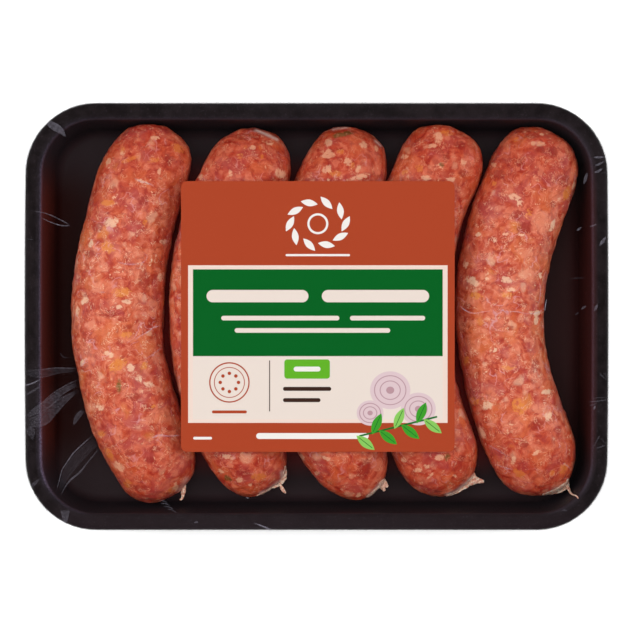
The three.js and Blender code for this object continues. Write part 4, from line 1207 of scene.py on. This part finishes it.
def build_folds_and_glints(stretched, material):
    """The slips of doubled film and painted glints, each a strip shaped along its route and laid on the
    stretched film.
    """
    slips = []
    milk_and_glint_shares = []
    for number, (route, middle, edge) in enumerate(FOLDS_AND_GLINTS):
        slip, grid = flat_grid(f"slip_{number}", 22, 6)
        share = (grid[:, 0] + 1) / 2
        across = np.sign(grid[:, 1]) * np.abs(grid[:, 1]) ** 0.6
        width = np.maximum(along_route(route, share)[:, 2], 0.1)
        x, y = beside_route(route, share, across * width / 2, 0.01)
        move_points(slip, np.stack([x, y, height_over(stretched, x, y, SLIP_GAP, RIM_TOP)], axis=1))
        fade = np.clip(np.minimum(share, 1 - share) / 0.12, 0.15, 1)
        milk_and_glint_shares.append((middle + (edge - middle) * np.abs(across) ** 6) * fade)
        slips.append(slip)
    deselect()
    for slip in slips:
        slip.select_set(True)
    bpy.context.view_layer.objects.active = slips[0]
    bpy.ops.object.join()
    folds = bpy.context.active_object
    folds.name = folds.data.name = "film_folds_and_glints"
    paint(folds, "milk_and_glint", np.concatenate(milk_and_glint_shares))
    return finish_piece(folds, material, smooth=60)


def skirt_rings():
    """Inset, height and size of each ring of the film below the rim's outer edge, in millimetres."""
    top, foot = RIM_TOP / MM, RIM_FOOT / MM
    rings = [(0.02, top - 0.9, 1.0), (0.0, foot + 1.4, 1.0), (0.1, foot + 0.2, 1.0), (0.5, foot - 0.8, 1.0)]
    # Down the wall
    for step in range(1, 9):
        share = step / 8
        rings.append((0.5 + (HEEL - 1.2 - 0.5) * share, (foot - 0.8) + (1.0 - foot + 0.8) * share, 1.0))
    # Round to the base, and inwards under it
    rings += [(HEEL - 0.5, 0.4, 1.0), (HEEL + 0.3, 0.1, 1.0)]
    rings += [(HEEL + 0.3, 0.1, 1 - 0.075 * step) for step in range(1, 7)]
    return rings


def noise_round(points, often, level, seed):
    """Smooth noise from -1 to 1 round the pack, at one level or at a level for each point."""
    bearing = np.arctan2(points[:, 1] / HALF_WIDTH, points[:, 0] / HALF_LENGTH)
    levels = np.broadcast_to(level, bearing.shape)
    return np.array([noise.noise(Vector((often * b, c, seed))) for b, c in zip(bearing, levels)])


def place_skirt(piece, first, count, rings):
    """Puts each ring of extruded points where it belongs, with the pull lines of the stretched film."""
    points = points_of(piece)
    start = points[first : first + count].copy()
    core_x, core_y, out_x, out_y = core_and_way_out(start[:, 0], start[:, 1])
    corner = np.abs(out_x * out_y) * 2
    for number, (inset, height, size) in enumerate(rings):
        ring = points[first + number * count : first + (number + 1) * count]
        under_base = size < 1
        gather = noise_round(start, 38, 0.4 * number, 2.0)
        pull = noise_round(start, 11, 0.15 * number, 7.0)
        down = 1 - height * MM / RIM_TOP
        tight = min(max((height - 0.8) / 3.0, 0.15), 1.0)
        inwards = (0.14 * pull + gather * tight * (0.12 + corner * 0.8)) * down * (not under_base)
        reach = CORNER_RADIUS - (inset + np.maximum(inwards, -0.1)) * MM
        ragged = 1 + 0.05 * (1 - size) * pull / 0.3
        folds = 0.35 * np.abs(gather) * (0.3 + corner) * under_base
        ring[:, 0] = (core_x + out_x * reach) * size * ragged
        ring[:, 1] = (core_y + out_y * reach) * size * ragged
        ring[:, 2] = (height + folds) * MM
    move_points(piece, points)


def skirt_haze_and_glint(points):
    """The film is milkier in the gathers at the corners and where it is folded under the base, with painted
    glints along its pleat lines.
    """
    corner = rising(np.abs(points[:, 0]), CORE_X, CORNER_RADIUS)
    corner *= rising(np.abs(points[:, 1]), CORE_Y, CORNER_RADIUS)
    low = np.clip(1 - points[:, 2] / (6 * MM), 0, 1)
    lines = noise_round(points, 38, 0.02 * points[:, 2] / MM, 5.0)
    pleats = np.clip(lines * 2.5, 0, 1) ** 2
    wall = (0.1 + 0.7 * pleats) * (0.15 + 2.0 * corner)
    return np.clip(wall * (1 - low) + (0.14 + 0.7 * pleats) * low, 0, 1)


# The label


def build_label(paper):
    piece, grid = flat_grid("printed_label", 120, 120)
    half = (LABEL_HIGH - LABEL_LOW) / 2
    corner = 2.2 * MM
    x, y = grid[:, 0] * half.x, grid[:, 1] * half.y
    over_x = np.maximum(np.abs(x) - (half.x - corner), 0)
    over_y = np.maximum(np.abs(y) - (half.y - corner), 0)
    over = np.hypot(over_x, over_y)
    shrink = np.where(over > corner, corner / np.maximum(over, 1e-9), 1)
    x = np.sign(x) * (np.minimum(np.abs(x), half.x - corner) + over_x * shrink) + LABEL_CENTRE.x
    y = np.sign(y) * (np.minimum(np.abs(y), half.y - corner) + over_y * shrink) + LABEL_CENTRE.y
    move_points(piece, np.stack([x, y, label_height(x, y)], axis=1))
    apply_modifier(piece, "SOLIDIFY", thickness=0.16 * MM, offset=1.0)
    return finish_piece(piece, paper, "label", smooth=30)


# The casing's tied ends


def build_casing_end(number, route, casing):
    """A twisted end of casing: a star-shaped ring, drawn out and turned along a short route."""
    sides, rings = 14, 15
    twist, flatness = 0.22, 0.75
    ridge, groove = 1.05, 0.55
    run = along_route(route, np.linspace(0, 1, rings))
    start = Vector(run[0, :3]) * MM
    ahead = Vector(run[1, :3] - run[0, :3]).normalized()
    deselect()
    bpy.ops.mesh.primitive_circle_add(vertices=sides, radius=MM, fill_type="NGON", location=start)
    piece = new_piece(f"casing_end_{number}")
    edit_mode()
    bpy.ops.mesh.select_all(action="SELECT")
    for _ in run[1:]:
        bpy.ops.mesh.extrude_region_move(TRANSFORM_OT_translate={"value": ahead * MM})
    object_mode()
    places = []
    for step in range(rings):
        ahead = Vector(run[min(step + 1, rings - 1), :3] - run[max(step - 1, 0), :3]).normalized()
        side = ahead.cross(Vector((0, 0, 1))).normalized()
        up = side.cross(ahead)
        for corner in range(sides):
            angle = 2 * math.pi * corner / sides + twist * step
            uneven = 1 + 0.45 * noise.noise(Vector((corner * 1.7, step * 0.6, number)))
            reach = run[step, 3] / 2 * uneven * (ridge if corner % 2 else groove)
            place = Vector(run[step, :3]) + side * reach * math.cos(angle)
            place += up * reach * flatness * math.sin(angle)
            places.append(place * MM)
    move_points(piece, np.array(places))
    return finish_casing(piece, casing)


def build_flap(name, route, sausage, casing):
    """A thin flap of casing between a sausage and its tied end, laid over its edge, worn and wavy."""
    piece, grid = flat_grid(name, 20, 6)
    share = (grid[:, 0] + 1) / 2
    run = along_route(route, share)
    uneven = 1 + 0.55 * noise_field(run[:, 0] * MM, (run[:, 1] + 3 * grid[:, 1]) * MM, 0.9, 0.9, 4.4)
    wave = 0.3 * noise_field(run[:, 0] * MM, (run[:, 1] + grid[:, 1]) * MM, 1.3, 1.3, 9.7)
    x, y = beside_route(route, share, grid[:, 1] * run[:, 3] / 2 * uneven, 0.02)
    z = np.maximum((run[:, 2] + wave) * MM, height_over(sausage, x, y, 0.15 * MM, 0.0))
    move_points(piece, np.stack([x, y, z], axis=1))
    apply_modifier(piece, "SOLIDIFY", thickness=0.22 * MM, offset=0.0)
    return finish_casing(piece, casing)


def finish_casing(piece, casing):
    apply_modifier(piece, "SUBSURF", levels=1, render_levels=1)
    face_outwards(piece)
    return finish_piece(piece, casing, smooth=60)


# Routes of the tied ends from inside the sausage outwards: points with their height and width, in millimetres
CASING_ENDS = {
    1: [
        (-50.4, -63.9, 16.5, 1.91), (-50.5, -65.4, 16.5, 1.68), (-50.7, -66.6, 16.5, 1.98),
        (-50.9, -67.7, 16.5, 1.68), (-51, -68.8, 16.5, 1.14), (-51.5, -69.7, 16.4, 0.99),
        (-52.3, -69.8, 16.3, 0.46),
    ],
    2: [
        (-14.2, -62.8, 16.5, 1.14), (-13.6, -64.5, 16.5, 1.22), (-13, -65.6, 16.5, 1.6),
        (-12.4, -66.5, 16.4, 1.6), (-11.7, -67.4, 16.3, 0.38),
    ],
    3: [
        (23.8, -63.2, 16.5, 1.6), (24.5, -64.2, 16.5, 2.5), (25.2, -65.2, 16.5, 2.1),
        (25.9, -66.6, 16.4, 1),
    ],
    4: [
        (56.8, -63.3, 16.5, 3), (58.7, -62.7, 16.5, 4), (60.6, -62.4, 16.5, 3.6),
        (62.1, -62.6, 16.4, 2.4), (63.9, -63, 16.3, 1.2),
    ],
    5: [
        (94.5, -62.4, 16.5, 1.72), (95.4, -64.5, 17, 1.6), (95.9, -65.7, 18.5, 1.37),
        (96.2, -66.7, 20.5, 1.06), (96.7, -67.3, 24, 0.83), (97.4, -67.3, 28.2, 0.71),
        (98.1, -67.8, 28.45, 0.6), (98.4, -68.6, 28.45, 0.34),
    ],
}

# Routes of the thin flaps beside them, in the same way
FLAPS = {
    "2_a": [
        (-11.8, -56.6, 17, 0.38), (-11.9, -58.6, 17, 0.91), (-12.2, -60.3, 16.8, 1.71),
        (-12.6, -61.8, 16.5, 2.1), (-13.7, -63.5, 16.5, 1.37),
    ],
    "2_b": [
        (-13.7, -63.9, 16.5, 1.3), (-15.2, -64.5, 16.5, 0.99), (-17, -65.1, 16.5, 0.99),
        (-18.5, -66.1, 16.5, 0.84), (-20.4, -67.2, 16.5, 0.61), (-22.7, -68, 16.5, 0.3),
    ],
    "3_a": [(24, -63.3, 16.8, 1.7), (25.5, -63.6, 16.5, 2.6), (27.3, -64.8, 16.5, 1.1)],
    "3_b": [(24.2, -63.9, 16.8, 1.6), (25.3, -62.7, 16.8, 1.9), (26, -61.8, 16.8, 0.8)],
    "3_c": [
        (24.5, -64.2, 16.5, 1.1), (22.5, -65.9, 16.5, 1), (21, -67.1, 16.5, 1.1),
        (18.9, -68.3, 16.5, 0.46),
    ],
    "4_a": [(57.9, -63.9, 16.8, 1.9), (59.4, -61.9, 16.8, 2.6), (60.1, -59.4, 16.8, 0.6)],
    "4_b": [
        (58.5, -63.5, 16.5, 2.29), (56.2, -65.1, 16.5, 1.3), (54.5, -66.2, 16.5, 1.2),
        (52.2, -67.4, 16.5, 1.1), (49.2, -68.3, 16.5, 0.53),
    ],
    "5_a": [
        (95.3, -61.3, 17, 0.6), (95.1, -63.3, 16.8, 2.4), (93.8, -65, 16.5, 3.6), (91.7, -66, 16.5, 2.9),
        (89, -66.9, 16.5, 1.7), (85.6, -67.6, 16.5, 0.6),
    ],
}


# What the pack stands on, the light and the camera


def build_stage():
    f = Finish("pale floor")
    glow = f.node("ShaderNodeEmission", {"Color": (1.0, 1.0, 1.0), "Strength": 0.45})
    plain = f.node("ShaderNodeBsdfDiffuse", {"Color": (0.86, 0.86, 0.86)})
    shader = f.node("ShaderNodeAddShader", {0: glow.outputs[0], 1: plain.outputs[0]})
    deselect()
    bpy.ops.mesh.primitive_plane_add(size=8, location=(0, 0, -0.1 * MM))
    floor = new_piece("floor")
    floor.data.materials.append(f.finish(shader))


def add_softbox(name, place, size, power, glossy):
    """A soft light aimed at the pack. Without glossy it gives no highlights, as through crossed filters."""
    deselect()
    bpy.ops.object.light_add(type="AREA", location=place)
    lamp = bpy.context.active_object
    lamp.name = name
    lamp.data.shape = "RECTANGLE"
    lamp.data.size, lamp.data.size_y = size
    lamp.data.energy = power
    lamp.rotation_euler = (-Vector(place)).to_track_quat("-Z", "Y").to_euler()
    lamp.visible_glossy = glossy
    lamp.visible_camera = False


def build_light():
    world = bpy.data.worlds.new("studio")
    bpy.context.scene.world = world
    world.use_nodes = True
    tree = world.node_tree
    way = tree.nodes.new("ShaderNodeTexCoord")
    height = tree.nodes.new("ShaderNodeSeparateXYZ")
    brightness = tree.nodes.new("ShaderNodeMapRange")
    tree.links.new(way.outputs["Generated"], height.inputs[0])
    tree.links.new(height.outputs["Z"], brightness.inputs["Value"])
    for name, value in {"From Min": 0.1, "From Max": 0.9, "To Min": 0.3, "To Max": 0.02}.items():
        brightness.inputs[name].default_value = value
    background = tree.nodes["Background"]
    background.inputs["Color"].default_value = (0.9, 0.93, 1.0, 1)
    tree.links.new(brightness.outputs["Result"], background.inputs["Strength"])
    add_softbox("overhead", (0.0, 0.02, 1.4), (1.1, 1.1), 10.4, False)
    add_softbox("key left", (-0.85, 0.1, 0.9), (0.8, 0.8), 7.3, False)
    add_softbox("fill right", (0.85, 0.1, 0.8), (0.8, 0.8), 5.4, False)
    add_softbox("strip left", (-1.1, 0.1, 0.55), (0.9, 0.12), 1.2, True)
    add_softbox("strip right", (1.1, 0.3, 0.5), (0.7, 0.12), 0.8, True)
    bpy.context.scene.view_settings.view_transform = "Standard"


def build_camera():
    distance = 2 * HALF_LENGTH * (PICTURE_WIDTH / PACK_IN_PICTURE) * LENS / SENSOR
    deselect()
    bpy.ops.object.camera_add(location=(0, 0, RIM_TOP + distance), rotation=(0, 0, 0))
    camera = bpy.context.active_object
    camera.data.lens = LENS
    camera.data.sensor_width = SENSOR
    bpy.context.scene.camera = camera


deselect()
BULGES = lumps("bulges", 9.0)
GROUND = lumps("ground", 2.6)

build_camera()
build_light()
build_stage()
build_tray(make_foam())
meat = make_meat()
sausages = [build_sausage(number, meat) for number in SAUSAGES]
casing = make_casing()
ends = [build_casing_end(number, route, casing) for number, route in CASING_ENDS.items()]
for name, route in FLAPS.items():
    build_flap(f"casing_flap_{name}", route, sausages[int(name[0]) - 1], casing)
stretched = build_film(make_film(), sausages + ends)
build_folds_and_glints(stretched, make_fold_and_glint())
build_label(make_label())
